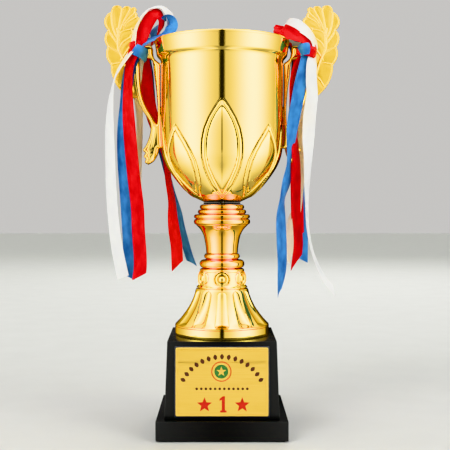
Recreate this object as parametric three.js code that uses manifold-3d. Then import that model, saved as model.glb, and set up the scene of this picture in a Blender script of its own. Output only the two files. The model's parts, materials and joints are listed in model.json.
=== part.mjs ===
// A two-handled cup trophy, 400 mm tall: a gilt cup on a turned stem and a fluted foot, on a black moulded
// plinth with a plaque, with a bow of three satin ribbons tied to each handle.
// Millimetres, +Z up, the front of the trophy faces -Y, and the origin is in the middle of the resting face.
import * as THREE from 'three';
import { mergeVertices } from 'three/addons/utils/BufferGeometryUtils.js';
import Module from 'manifold-3d';

const wasm = await Module();
wasm.setup();

// ---- driving dimensions ----
const GAP = 0.3; // clearance between pieces that touch
const ROD_RADIUS = 3; // M6 tie rod that clamps the cup, stem, foot and plinth together
const BORE_RADIUS = ROD_RADIUS + 0.4;

const SLAB_WIDTH = 118;
const SLAB_TOP = 18.4;
const PLINTH_TOP = 88;
const BLOCK_TOP_WIDTH = 98.2;
const BLOCK_BOTTOM_WIDTH = 103;
const PLASTIC_WALL = 3;
const PAD_THICKNESS = 1;
const COVER_THICKNESS = 3;
const BALLAST_RADIUS = 50;
const BALLAST_THICKNESS = 10;
const BOSS_OFFSET = 40; // plinth screws stand on a square of twice this side
const BOSS_RADIUS = 4.5;
const PLINTH_SCREW_RADIUS = 1.5;
const PLINTH_SCREW_LENGTH = 22;

const PLAQUE_WIDTH = 82.5;
const PLAQUE_HEIGHT = 60.8;
const PLAQUE_THICKNESS = 1.2;
const PLAQUE_CENTRE_HEIGHT = 52.4;
const BACKING_BORDER = 1.1;
const BACKING_THICKNESS = 0.7;

const FOOT_RADIUS = 44.3;
const FOOT_BOTTOM = PLINTH_TOP + GAP;
const FOOT_TOP = 132.6;
const FLUTES = 12;
const FLUTE_DEPTH = 1.3;
const SKIRT_BOTTOM = 98; // the flutes lie between these heights
const SKIRT_TOP = 129;
const COLLAR_TOP = 150.6;
const MEDALLIONS = 6;
const MEDALLION_RADIUS = 8;
const MEDALLION_THICKNESS = 4;
const RING_TOP = 164.8;
const KNOB_TOP = 210.9;
const GASKET_RADIUS = 17.5;
const GASKET_THICKNESS = 1.6;

const BOWL_BOTTOM = KNOB_TOP + GASKET_THICKNESS + 2 * GAP;
const BOWL_RADIUS = 57.7;
const BAND_BOTTOM = 349.6; // lower edge of the raised band at the rim
const RIM_TOP = 365.3;
const RIM_RADIUS = 64;
const BOWL_WALL = 1.6;

const HANDLE_THICKNESS = 9;
const LEAF_THICKNESS = 4;
const HANDLE_SCREW_RADIUS = 1.5;
const UPPER_SCREW_HEIGHT = 343.5;
const LOWER_SCREW_HEIGHT = 273;
const HANDLE_SCREW_TIP = 64; // distance of the screw's tip from the axis of the cup

const RIBBON_THICKNESS = 1.2;
// Distance of each layer of ribbons from the handle's middle plane.
const RIBBON_LAYERS = { near: 6.5, middle: 8.3, far: 10.1 };
const KNOT_BOTTOM = 350.2;
const KNOT_TOP = 364.5;

// ---- materials ----
function material(color, roughness, metalness) {
  return new THREE.MeshStandardMaterial({ color, roughness, metalness });
}

const polishedGold = material(0xe2b24a, 0.12, 1);
const satinGold = material(0xe9c45f, 0.45, 1);
const zincSteel = material(0xb9bcc0, 0.35, 1);
const castIron = material(0x4a4c50, 0.7, 0.8);
const blackPlastic = material(0x1b1b1d, 0.3, 0);
const blackRubber = material(0x101010, 0.8, 0);
const greyBoard = material(0x5a5550, 0.9, 0);
const padFoam = material(0x222222, 0.95, 0);
const plaqueGold = material(0xdcb348, 0.4, 0.8);
const backingBlack = material(0x0b0d14, 0.6, 0);
const satin = {
  red: material(0xe30a0a, 0.5, 0),
  white: material(0xf2efec, 0.5, 0),
  blue: material(0x3f86d6, 0.5, 0),
};

// ---- helpers ----

// Position-only, welded geometry with no zero-area triangles.
function welded(geometry) {
  const bare = geometry.clone();
  bare.deleteAttribute('normal');
  bare.deleteAttribute('uv');
  const merged = mergeVertices(bare, 1e-4);
  const corners = merged.index.array;
  const kept = [];
  for (let i = 0; i < corners.length; i += 3) {
    const [a, b, c] = [corners[i], corners[i + 1], corners[i + 2]];
    if (a !== b && b !== c && c !== a) kept.push(a, b, c);
  }
  merged.setIndex(kept);
  return merged;
}

function toSolid(geometry) {
  const source = welded(geometry);
  const vertProperties = new Float32Array(source.attributes.position.array);
  const triVerts = new Uint32Array(source.index.array);
  return new wasm.Manifold(new wasm.Mesh({ numProp: 3, vertProperties, triVerts }));
}

function toGeometry(solid) {
  const mesh = solid.getMesh();
  const geometry = new THREE.BufferGeometry();
  geometry.setAttribute('position', new THREE.BufferAttribute(mesh.vertProperties, 3));
  geometry.setIndex(new THREE.BufferAttribute(mesh.triVerts, 1));
  return geometry;
}

function combine(base, { add = [], cut = [] }) {
  let solid = toSolid(base);
  for (const extra of add) solid = solid.add(toSolid(extra));
  for (const tool of cut) solid = solid.subtract(toSolid(tool));
  return toGeometry(solid);
}

// A [radius, height] profile, anticlockwise in the half plane, turned about Z.
function turned(profile, segments = 32) {
  const points = [...profile, profile[0]].map(([radius, height]) => new THREE.Vector2(radius, height));
  return welded(new THREE.LatheGeometry(points, segments).rotateX(Math.PI / 2));
}

// A straight ring or washer about Z.
function ring(inner, outer, bottom, top, segments = 16) {
  return turned([[inner, bottom], [outer, bottom], [outer, top], [inner, top]], segments);
}

function rod(radius, bottom, top, segments = 16) {
  const geometry = new THREE.CylinderGeometry(radius, radius, top - bottom, segments).rotateX(Math.PI / 2);
  return welded(geometry.translate(0, 0, (bottom + top) / 2));
}

// A cylinder along X from one distance from the axis to another, on the side given by the sign.
function radialRod(side, radius, from, to, height, segments = 12) {
  const geometry = new THREE.CylinderGeometry(radius, radius, to - from, segments).rotateZ(Math.PI / 2);
  return welded(geometry.translate((side * (from + to)) / 2, 0, height));
}

function box(width, depth, bottom, top) {
  return welded(new THREE.BoxGeometry(width, depth, top - bottom).translate(0, 0, (bottom + top) / 2));
}

// A square frustum, sides parallel to X and Y.
function frustum(bottomWidth, topWidth, bottom, top) {
  const [low, high] = [bottomWidth * Math.SQRT1_2, topWidth * Math.SQRT1_2];
  const geometry = new THREE.CylinderGeometry(high, low, top - bottom, 4, 1).rotateX(Math.PI / 2);
  return welded(geometry.rotateZ(Math.PI / 4).translate(0, 0, (bottom + top) / 2));
}

// A shape drawn in the XZ plane, given a thickness along Y about the plane y = middle.
function plate(shape, thickness, middle = 0, curveSegments = 4) {
  const geometry = new THREE.ExtrudeGeometry(shape, { depth: thickness, bevelEnabled: false, curveSegments });
  return welded(geometry.rotateX(Math.PI / 2).translate(0, middle + thickness / 2, 0));
}

function place(x, y, geometry) {
  return geometry.clone().translate(x, y, 0);
}

const trophy = new THREE.Group();

function piece(name, geometry, finish, parent = trophy) {
  const mesh = new THREE.Mesh(geometry, finish);
  mesh.name = name;
  parent.add(mesh);
  return mesh;
}

// ---- plinth ----

const bossCentres = [[-1, -1], [1, -1], [1, 1], [-1, 1]].map(([x, y]) => [x * BOSS_OFFSET, y * BOSS_OFFSET]);

// Hollow moulding, open below, with a screw boss in each corner and a hole for the tie rod.
function plinthBlock() {
  const bottom = SLAB_TOP + GAP;
  const ceiling = PLINTH_TOP - PLASTIC_WALL;
  const [innerBottom, innerTop] = [BLOCK_BOTTOM_WIDTH - 2 * PLASTIC_WALL, BLOCK_TOP_WIDTH - 2 * PLASTIC_WALL];
  const hollow = frustum(innerBottom, innerTop, bottom, ceiling);
  const shell = combine(frustum(BLOCK_BOTTOM_WIDTH, BLOCK_TOP_WIDTH, bottom, PLINTH_TOP), { cut: [hollow] });
  const boss = rod(BOSS_RADIUS, bottom, ceiling + 1, 12);
  const screwHole = rod(PLINTH_SCREW_RADIUS + GAP, bottom - 1, bottom + PLINTH_SCREW_LENGTH, 12);
  const rodHole = rod(BORE_RADIUS, ceiling - 1, PLINTH_TOP + 1);
  return combine(shell, {
    add: bossCentres.map(([x, y]) => place(x, y, boss)),
    cut: [rodHole, ...bossCentres.map(([x, y]) => place(x, y, screwHole))],
  });
}

const COVER_BOTTOM = PAD_THICKNESS + GAP;
const BALLAST_BOTTOM = COVER_BOTTOM + COVER_THICKNESS + GAP;
const SLAB_CEILING = SLAB_TOP - PLASTIC_WALL;
const SLAB_INNER_WIDTH = SLAB_WIDTH - 2 * PLASTIC_WALL;

function plinthSlab() {
  const hollow = box(SLAB_INNER_WIDTH, SLAB_INNER_WIDTH, 0, SLAB_CEILING);
  const hole = rod(PLINTH_SCREW_RADIUS + GAP, SLAB_CEILING - 1, SLAB_TOP + 1, 12);
  return combine(box(SLAB_WIDTH, SLAB_WIDTH, COVER_BOTTOM, SLAB_TOP), {
    cut: [hollow, ...bossCentres.map(([x, y]) => place(x, y, hole))],
  });
}

// Pan-head screw that stands upwards, its head under the slab's top plate.
function plinthScrew() {
  const seat = SLAB_CEILING - GAP;
  const head = 3.2;
  const tip = SLAB_TOP + PLINTH_SCREW_LENGTH - 2;
  return turned([[0, seat - 2.4], [head, seat - 1.6], [head, seat], [PLINTH_SCREW_RADIUS, seat],
    [PLINTH_SCREW_RADIUS, tip - 2], [0, tip]], 12);
}

piece('plinth_block', plinthBlock(), blackPlastic);
piece('plinth_slab', plinthSlab(), blackPlastic);
bossCentres.forEach(([x, y], index) => {
  piece(`plinth_screw_${index + 1}`, plinthScrew(), zincSteel).position.set(x, y, 0);
});
piece('ballast_disc', rod(BALLAST_RADIUS, BALLAST_BOTTOM, BALLAST_BOTTOM + BALLAST_THICKNESS, 32), castIron);
const coverWidth = SLAB_INNER_WIDTH - 2 * GAP;
piece('bottom_cover', box(coverWidth, coverWidth, COVER_BOTTOM, COVER_BOTTOM + COVER_THICKNESS), greyBoard);
piece('base_pad', box(SLAB_WIDTH - 6, SLAB_WIDTH - 6, 0, PAD_THICKNESS), padFoam);

// The plaque and its adhesive backing lean with the plinth's front face.
const blockHeight = PLINTH_TOP - SLAB_TOP;
const frontLean = Math.atan((BLOCK_BOTTOM_WIDTH - BLOCK_TOP_WIDTH) / 2 / blockHeight);
const plaqueLift = (PLAQUE_CENTRE_HEIGHT - SLAB_TOP) / blockHeight;
const faceDepth = THREE.MathUtils.lerp(BLOCK_BOTTOM_WIDTH, BLOCK_TOP_WIDTH, plaqueLift) / 2;
const plaqueGroup = new THREE.Group();
plaqueGroup.position.set(0, -faceDepth, PLAQUE_CENTRE_HEIGHT);
plaqueGroup.rotation.x = -frontLean;
trophy.add(plaqueGroup);

function frontPlate(width, height, thickness, standoff) {
  return welded(new THREE.BoxGeometry(width, thickness, height).translate(0, -standoff - thickness / 2, 0));
}

const backingWidth = PLAQUE_WIDTH + 2 * BACKING_BORDER;
const backingHeight = PLAQUE_HEIGHT + 2 * BACKING_BORDER;
const backing = frontPlate(backingWidth, backingHeight, BACKING_THICKNESS, GAP);
const plaque = frontPlate(PLAQUE_WIDTH, PLAQUE_HEIGHT, PLAQUE_THICKNESS, BACKING_THICKNESS + 2 * GAP);
piece('plaque_backing', backing, backingBlack, plaqueGroup);
piece('plaque', plaque, plaqueGold, plaqueGroup);

// ---- foot and stem ----

// Bell-shaped foot: the skirt between the top ring and the bottom band is fluted.
function footBell() {
  const outer = [[FOOT_RADIUS - 1.2, FOOT_BOTTOM], [FOOT_RADIUS, FOOT_BOTTOM + 2.4], [FOOT_RADIUS, 97.6],
    [38.8, 104.1], [32.2, 113.2], [27.7, 122.1], [25.2, 129.5], [24.4, 131.4], [22.6, FOOT_TOP]];
  const inner = [[BORE_RADIUS, FOOT_TOP], [BORE_RADIUS, FOOT_TOP - 3], [21, FOOT_TOP - 4.5], [25, 120.5],
    [29.5, 111], [36, 102], [41, 96], [41, FOOT_BOTTOM]];
  const bell = turned([...outer, ...inner], 48);
  const position = bell.attributes.position;
  for (let i = 0; i < position.count; i += 1) {
    const point = new THREE.Vector3().fromBufferAttribute(position, i);
    const onSkirt = point.z > SKIRT_BOTTOM && point.z < SKIRT_TOP && Math.hypot(point.x, point.y) > 25.4;
    const onLining = inner.some(([, height]) => Math.abs(height - point.z) < 0.01);
    if (!onSkirt || onLining) continue;
    const groove = 0.5 - 0.5 * Math.cos(FLUTES * Math.atan2(point.y, point.x));
    const scale = 1 - (FLUTE_DEPTH * groove) / Math.hypot(point.x, point.y);
    position.setXY(i, point.x * scale, point.y * scale);
  }
  return bell;
}

// Collar above the foot, with a ring of round medallions.
function footCollar() {
  const [bottom, top] = [FOOT_TOP + GAP, COLLAR_TOP - GAP];
  const body = turned([[15, bottom], [22.2, bottom], [20.9, 140], [19.6, top], [15, top]], 24);
  const middle = (bottom + top) / 2;
  const medallions = Array.from({ length: MEDALLIONS }, (_, index) => {
    const disc = new THREE.CylinderGeometry(MEDALLION_RADIUS, MEDALLION_RADIUS, MEDALLION_THICKNESS, 16);
    return disc.translate(0, -19.6, middle).rotateZ((index * 2 * Math.PI) / MEDALLIONS);
  });
  return combine(body, { add: medallions });
}

// Two half-round rings on one turned spacer.
function stemRing() {
  const [bottom, top] = [COLLAR_TOP, RING_TOP];
  return turned([[BORE_RADIUS, bottom], [19, bottom], [20.8, bottom + 1.8], [21.1, bottom + 4],
    [20.4, bottom + 6.6], [18.6, bottom + 7.9], [15.6, bottom + 8.4], [16.4, bottom + 10], [16.2, bottom + 12.4],
    [15, top], [BORE_RADIUS, top]], 24);
}

// Hollow knob: three steps of rings over a flared neck, open below.
function stemKnob() {
  const bottom = RING_TOP + GAP;
  return turned([[12, bottom], [15, bottom], [15.6, 172.5], [17.6, 181.8], [20.4, 187], [24.6, 191.2],
    [26.2, 192.6], [26.3, 195.6], [25.2, 196.7], [26, 198], [26, 200.6], [24.4, 201.9], [22.7, 202.3],
    [22.7, 205.4], [20.9, 206.2], [20.9, 209.6], [19.6, KNOB_TOP], [BORE_RADIUS, KNOB_TOP],
    [BORE_RADIUS, KNOB_TOP - 5], [18, 203], [20, 195], [14.5, 184]], 24);
}

piece('foot_bell', footBell(), polishedGold);
piece('foot_collar', footCollar(), polishedGold);
piece('stem_ring', stemRing(), polishedGold);
piece('stem_knob', stemKnob(), polishedGold);
const gasketBottom = KNOB_TOP + GAP;
const gasketTop = gasketBottom + GASKET_THICKNESS;
piece('bowl_gasket', ring(BORE_RADIUS, GASKET_RADIUS, gasketBottom, gasketTop), blackRubber);

// ---- cup ----

// Outer wall of the cup from the edge of its flat bottom up to the band, as [radius, height].
const WALL = [[17, BOWL_BOTTOM], [27.5, 218.4], [35.6, 226], [45.9, 239], [52.2, 250], [55.6, 262], [57, 284],
  [BOWL_RADIUS, 318], [BOWL_RADIUS, BAND_BOTTOM]];
const wallCurve = new THREE.SplineCurve(WALL.map(([radius, height]) => new THREE.Vector2(radius, height)));
const WALL_STEPS = 9;

function wallRadius(height) {
  const samples = wallCurve.getPoints(400);
  const above = samples.findIndex((point) => point.y >= height);
  return samples[Math.max(above, 0)].x;
}

function cupBowl() {
  const outerWall = [];
  const innerWall = [];
  for (let i = 0; i <= WALL_STEPS; i += 1) {
    const point = wallCurve.getPoint(i / WALL_STEPS);
    const tangent = wallCurve.getTangent(i / WALL_STEPS);
    outerWall.push([point.x, point.y]);
    innerWall.unshift([point.x - tangent.y * BOWL_WALL, point.y + tangent.x * BOWL_WALL]);
  }
  const lip = [[62, BAND_BOTTOM + 0.5], [RIM_RADIUS, RIM_TOP - 1.6], [RIM_RADIUS - 0.7, RIM_TOP - 0.3],
    [RIM_RADIUS - 1.6, RIM_TOP], [61.8, RIM_TOP - 1], [60, BAND_BOTTOM + 1.6]];
  const floor = BOWL_BOTTOM + BOWL_WALL;
  const profile = [[BORE_RADIUS, BOWL_BOTTOM], ...outerWall, ...lip, ...innerWall, [BORE_RADIUS, floor]];
  const holes = [];
  for (const side of [-1, 1]) {
    for (const height of [UPPER_SCREW_HEIGHT, LOWER_SCREW_HEIGHT]) {
      holes.push(radialRod(side, HANDLE_SCREW_RADIUS + GAP, 48, 62, height));
    }
  }
  return combine(turned(profile, 36), { cut: holes });
}

piece('cup_bowl', cupBowl(), polishedGold);

// ---- tie rod, nuts and washers ----

const cupFloor = BOWL_BOTTOM + BOWL_WALL;
const plinthCeiling = PLINTH_TOP - PLASTIC_WALL;
const WASHER_THICKNESS = 1.6;
const NUT_HEIGHT = 5;
const NUT_RADIUS = 5.8; // across corners of an M6 nut
const WASHER_RADIUS = 9;

function nut(bottom) {
  const top = bottom + NUT_HEIGHT;
  return combine(rod(NUT_RADIUS, bottom, top, 6), { cut: [rod(BORE_RADIUS, bottom - 1, top + 1)] });
}

function rodWasher(bottom) {
  return ring(BORE_RADIUS, WASHER_RADIUS, bottom, bottom + WASHER_THICKNESS);
}

piece('tie_rod', rod(ROD_RADIUS, plinthCeiling - 11, cupFloor + 9.5), zincSteel);
const cupWasherBottom = cupFloor + GAP;
piece('cup_washer', rodWasher(cupWasherBottom), zincSteel);
piece('cup_nut', nut(cupWasherBottom + WASHER_THICKNESS + GAP), zincSteel);
const baseWasherBottom = plinthCeiling - GAP - WASHER_THICKNESS;
piece('base_washer', rodWasher(baseWasherBottom), zincSteel);
piece('base_nut', nut(baseWasherBottom - GAP - NUT_HEIGHT), zincSteel);

// ---- handles ----

// Points are [distance from the cup's axis, height]. Each side draws them on its own side of the cup.
const onSide = (side) => ([distance, height]) => new THREE.Vector2(side * distance, height);

const LEAF_ROOT = [[84, 352], [78.6, 340], [79.5, 311.6], [88, 311], [94.3, 316.9]];
// The leaf's lobes, from its lower outer edge round to its inner edge: the crown of each and the notch after it.
const LEAF_LOBES = [
  [[104.2, 334], [105.2, 343]],
  [[109.7, 354.9], [108.4, 360.2]],
  [[111.2, 367.7], [107.9, 375.9]],
  [[111.2, 386.3], [104.9, 393.2]],
  [[98.9, 399.4], [94.3, 396.2]],
  [[89.8, 398.7], [86, 396.4]],
  [[81, 395.6], [81.7, 392.8]],
  [[80, 390], [80.1, 388.5]],
  [[76.4, 385], [84.5, 376.8]],
  [[83.1, 373.4], [85.5, 369.6]],
  [[83.6, 366.5], [86.2, 361.5]],
];

function leafShape(side) {
  const shape = new THREE.Shape();
  const [start, ...root] = LEAF_ROOT.map(onSide(side));
  shape.moveTo(start.x, start.y);
  root.forEach((point) => shape.lineTo(point.x, point.y));
  for (const lobe of LEAF_LOBES) shape.splineThru(lobe.map(onSide(side)));
  return shape;
}

// The frame touches the cup's wall below the band, and passes the band at this distance from the axis.
const FRAME_TOP = BAND_BOTTOM - 1;
const LUG_DISTANCE = 63.8;
// Outer edge of the polished frame: the lug beside the rim, the arch, the outer branch, the S-shaped band.
const FRAME_OUTER = [[65.2, 353.6], [65.4, 358], [68, 361], [77, 360.6], [82.4, 357], [84, 350], [83.9, 340],
  [83.2, 326], [80.8, 314], [76.5, 301.5], [70.3, 290.5], [67, 283.5], [66.6, 277], [68.3, 270.6], [72, 265.2]];
// The fan end of the band: the crown of each lobe and the notch after it.
const FAN_LOBES = [[[75, 262.2], [72.4, 259.4]], [[74.2, 256.6], [72.2, 253.9]], [[73, 250.6], [69.8, 248.3]]];
const FRAME_RETURN = [[64.6, 251.6], [61, 257.3], [59.4, 263.4]];
// The opening between the outer branch and the blade beside the cup.
const HANDLE_OPENING = [[77.5, 348], [78, 340], [77.3, 326], [75.6, 313.5], [71.5, 302.6], [66.4, 294],
  [62.6, 287.5], [61.2, 290], [61, 302], [62.3, 319], [64.2, 333.4], [65.6, 345], [68, 348]];

function frameShape(side) {
  const shape = new THREE.Shape();
  const outer = FRAME_OUTER.map(onSide(side));
  shape.moveTo(side * (wallRadius(FRAME_TOP) + GAP), FRAME_TOP);
  shape.lineTo(side * LUG_DISTANCE, FRAME_TOP);
  shape.lineTo(outer[0].x, outer[0].y);
  shape.splineThru(outer.slice(1));
  for (const lobe of FAN_LOBES) shape.splineThru(lobe.map(onSide(side)));
  shape.splineThru(FRAME_RETURN.map(onSide(side)));
  for (const height of [264, 273, 284, 300, 318]) {
    shape.lineTo(side * (wallRadius(height) + 2 * GAP), height);
  }
  // A hole has to run anticlockwise, whichever side it is drawn on.
  const edge = HANDLE_OPENING.map(onSide(side));
  if (THREE.ShapeUtils.isClockWise(edge)) edge.reverse();
  shape.holes.push(new THREE.Path(edge));
  return shape;
}

function handle(side) {
  const frame = plate(frameShape(side), HANDLE_THICKNESS, 0, 2);
  const leaf = plate(leafShape(side), LEAF_THICKNESS, 0, 2);
  const holes = [UPPER_SCREW_HEIGHT, LOWER_SCREW_HEIGHT].map((height) => (
    radialRod(side, HANDLE_SCREW_RADIUS + GAP, 50, HANDLE_SCREW_TIP + GAP, height)));
  return combine(frame, { add: [leaf], cut: holes });
}

// Screw through the cup's wall into the handle, its pan head on a washer inside the cup.
function handleScrew(side, height) {
  const seat = wallRadius(height) - BOWL_WALL - 2.6;
  const head = [[0, seat - 2.2], [2.4, seat - 1.7], [2.8, seat - 0.8], [2.8, seat]];
  const screw = turned([...head, [HANDLE_SCREW_RADIUS, seat], [HANDLE_SCREW_RADIUS, HANDLE_SCREW_TIP - 1],
    [0, HANDLE_SCREW_TIP]], 12);
  return screw.rotateY((side * Math.PI) / 2).translate(0, 0, height);
}

function handleWasher(side, height) {
  const seat = wallRadius(height) - BOWL_WALL - 2.3;
  const washer = ring(HANDLE_SCREW_RADIUS + GAP, 3.6, seat, seat + 0.8, 16);
  return washer.rotateY((side * Math.PI) / 2).translate(0, 0, height);
}

const sides = { left: -1, right: 1 };
for (const [sideName, side] of Object.entries(sides)) {
  piece(`handle_${sideName}`, handle(side), satinGold);
  for (const [level, height] of Object.entries({ upper: UPPER_SCREW_HEIGHT, lower: LOWER_SCREW_HEIGHT })) {
    piece(`handle_screw_${sideName}_${level}`, handleScrew(side, height), zincSteel);
    piece(`handle_washer_${sideName}_${level}`, handleWasher(side, height), zincSteel);
  }
}

// ---- ribbons ----

// The knot: a flat front wad, a strap over the arch of the handle and a rear strap.
function knot(side) {
  const block = (from, to, front, back, bottom, top) => {
    const geometry = new THREE.BoxGeometry(to - from, back - front, top - bottom);
    return welded(geometry.translate((side * (from + to)) / 2, (front + back) / 2, (bottom + top) / 2));
  };
  const inside = HANDLE_THICKNESS / 2 + 2 * GAP;
  const wad = block(68, 89, -12.4, -inside, KNOT_BOTTOM, KNOT_TOP);
  const strap = block(70, 82.6, -inside - 1, 11, 361.6, KNOT_TOP);
  const rear = block(70, 82.6, inside, 11, KNOT_BOTTOM, KNOT_TOP);
  return combine(wad, { add: [strap, rear] });
}

// A ribbon run in one layer, in front of the handle (depth below zero) or behind it, along a smooth route.
function ribbonRun(side, route, depth, width) {
  const curve = new THREE.SplineCurve(route.map(onSide(side)));
  const steps = 3 * (route.length - 1);
  const edges = [[], []];
  for (let i = 0; i <= steps; i += 1) {
    const point = curve.getPoint(i / steps);
    const tangent = curve.getTangent(i / steps);
    const offset = new THREE.Vector2(-tangent.y, tangent.x).multiplyScalar(width / 2);
    edges[0].push(point.clone().add(offset));
    edges[1].unshift(point.clone().sub(offset));
  }
  return plate(new THREE.Shape([...edges[0], ...edges[1]]), RIBBON_THICKNESS, depth);
}

const { near, middle, far } = RIBBON_LAYERS;
const TAIL_TOP = KNOT_BOTTOM - 4;
const LOOP_BOTTOM = KNOT_TOP + 2.5;

// Each run: its colour, its layer, its width and its route as [distance from the cup's axis, height].
const ribbons = {
  left: {
    loop_outer: ['white', -near, 6, [[81, LOOP_BOTTOM], [79.5, 377], [70, 391.5], [59, 396], [51, 390]]],
    loop_middle: ['red', -middle, 7, [[77, LOOP_BOTTOM], [73, 378], [64, 389], [57, 382], [62, 373],
      [70, LOOP_BOTTOM + 3]]],
    loop_inner: ['blue', -far, 7, [[73, LOOP_BOTTOM + 1], [64, 371], [53.5, 376], [50.5, 386]]],
    tail_front_1: ['white', -near, 8, [[83, TAIL_TOP], [97, 335], [105, 312], [105, 265], [102, 200],
      [92.6, 143]]],
    tail_front_2: ['blue', -middle, 9, [[83, TAIL_TOP], [93, 325], [93.5, 290], [90, 219], [87, 180],
      [88, 143]]],
    tail_front_3: ['red', -far, 11, [[83, TAIL_TOP], [88.5, 325], [87, 290], [82, 233], [77, 180], [77, 141]]],
    tail_rear_1: ['white', near, 9, [[78, TAIL_TOP], [80.5, 303], [80, 270], [82, 235], [80, 178]]],
    tail_rear_2: ['red', middle, 10, [[76, TAIL_TOP], [72, 319], [66, 291], [63, 262], [54, 233], [47, 195],
      [43, 151]]],
    tail_rear_3: ['blue', far, 9, [[74, TAIL_TOP], [68, 310], [64, 280], [61, 258], [50, 222], [40, 187],
      [30, 153]]],
  },
  right: {
    loop_outer: ['white', -near, 7, [[84, LOOP_BOTTOM + 1], [83, 374], [76, 380], [67, 383], [59, 380]]],
    loop_middle: ['red', -middle, 8, [[81, LOOP_BOTTOM], [76, 373], [66, 376], [58, 379]]],
    loop_inner: ['blue', -far, 6, [[74, LOOP_BOTTOM + 1], [68, 371], [60, 371.5]]],
    tail_front_1: ['white', -near, 9, [[83, TAIL_TOP], [83.5, 315], [80.5, 262], [79, 215], [84, 168],
      [104, 130]]],
    tail_front_2: ['red', -middle, 8, [[72, TAIL_TOP], [66, 310], [67, 285], [69.5, 245], [70.3, 200],
      [70, 156]]],
    tail_front_3: ['blue', -far, 11, [[80, TAIL_TOP], [73, 322], [66, 285], [62, 240], [56, 200], [55, 126]]],
    tail_rear_1: ['white', near, 8, [[78, TAIL_TOP], [77, 290], [75.5, 215], [67, 190], [62.5, 159]]],
    tail_rear_2: ['blue', middle, 6, [[73, TAIL_TOP], [70, 310], [74, 250], [76, 200], [77, 158]]],
    tail_rear_3: ['red', far, 8, [[75, TAIL_TOP], [72, 300], [72, 240], [73, 190]]],
  },
};

for (const [sideName, runs] of Object.entries(ribbons)) {
  piece(`ribbon_knot_${sideName}`, knot(sides[sideName]), satin.blue);
  for (const [runName, [colour, depth, width, route]] of Object.entries(runs)) {
    piece(`ribbon_${sideName}_${runName}`, ribbonRun(sides[sideName], route, depth, width), satin[colour]);
  }
}

export default trophy;
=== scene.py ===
"""The looks of the cup trophy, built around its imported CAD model. Lengths are millimetres until a mesh."""

import json
import math

import bmesh
import bpy
import numpy as np
from mathutils import Matrix, Vector, geometry


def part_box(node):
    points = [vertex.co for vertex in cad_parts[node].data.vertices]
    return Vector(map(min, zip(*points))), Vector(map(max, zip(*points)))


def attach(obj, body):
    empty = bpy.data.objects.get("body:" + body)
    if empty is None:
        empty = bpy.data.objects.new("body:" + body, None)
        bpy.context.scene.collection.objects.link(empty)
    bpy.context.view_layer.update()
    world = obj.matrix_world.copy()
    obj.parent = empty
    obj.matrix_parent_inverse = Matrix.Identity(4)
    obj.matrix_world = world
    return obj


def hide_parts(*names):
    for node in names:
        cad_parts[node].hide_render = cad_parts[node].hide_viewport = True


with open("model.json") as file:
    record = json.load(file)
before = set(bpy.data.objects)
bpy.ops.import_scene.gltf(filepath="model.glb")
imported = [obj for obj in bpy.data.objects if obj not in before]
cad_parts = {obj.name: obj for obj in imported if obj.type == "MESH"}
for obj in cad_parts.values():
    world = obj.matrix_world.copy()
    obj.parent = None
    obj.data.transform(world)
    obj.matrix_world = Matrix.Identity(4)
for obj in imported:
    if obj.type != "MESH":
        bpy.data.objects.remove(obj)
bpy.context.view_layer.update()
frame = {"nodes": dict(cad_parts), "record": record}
scene = bpy.context.scene

MM = 0.001
SIDES = {"left": -1, "right": 1}


def span(node):
    """Lowest and highest corner of a CAD node, in millimetres."""
    low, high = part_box(node)
    return np.array(low) / MM, np.array(high) / MM


# ---- materials ----

FINISHES = {}  # every material by its name
GROOVE_SHADE_ATTRIBUTE = "painted_groove_shade"  # a mesh attribute, 1 where shade is painted into the plating at the bottom of a narrow groove
# The colour of the shade painted into the grooves of the plating.
PAINTED_GROOVE_SHADE_COLOUR = (0.02, 0.009, 0.004, 1.0)


def node_input(node, name, value):
    node.inputs[name].default_value = value


class Nodes:
    """A node tree with helpers that add nodes to it."""

    def __init__(self, tree):
        self.nodes = tree.nodes
        self.links = tree.links

    def add(self, kind, **settings):
        node = self.nodes.new("ShaderNode" + kind)
        for key, value in settings.items():
            setattr(node, key, value)
        return node

    def join(self, output, target):
        self.links.new(output, target)

    def math(self, operation, *values):
        node = self.add("Math", operation=operation)
        for socket, value in zip(node.inputs, values):
            if isinstance(value, (int, float)):
                socket.default_value = value
            else:
                self.join(value, socket)
        return node.outputs["Value"]

    def between(self, factor, low, high, start=0.3, end=0.7, curve="LINEAR"):
        """From low to high as the factor goes from start to end."""
        node = self.add("MapRange", interpolation_type=curve)
        for socket, value in (("From Min", start), ("From Max", end), ("To Min", low), ("To Max", high)):
            node_input(node, socket, value)
        self.join(factor, node.inputs["Value"])
        return node.outputs["Result"]

    def ramp(self, factor, *stops):
        """Stops are (position, colour)."""
        node = self.add("ValToRGB")
        for element, (position, colour) in zip(node.color_ramp.elements, stops):
            element.position = position
            element.color = (*colour, 1.0)
        self.join(factor, node.inputs["Fac"])
        return node.outputs["Color"]


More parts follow.
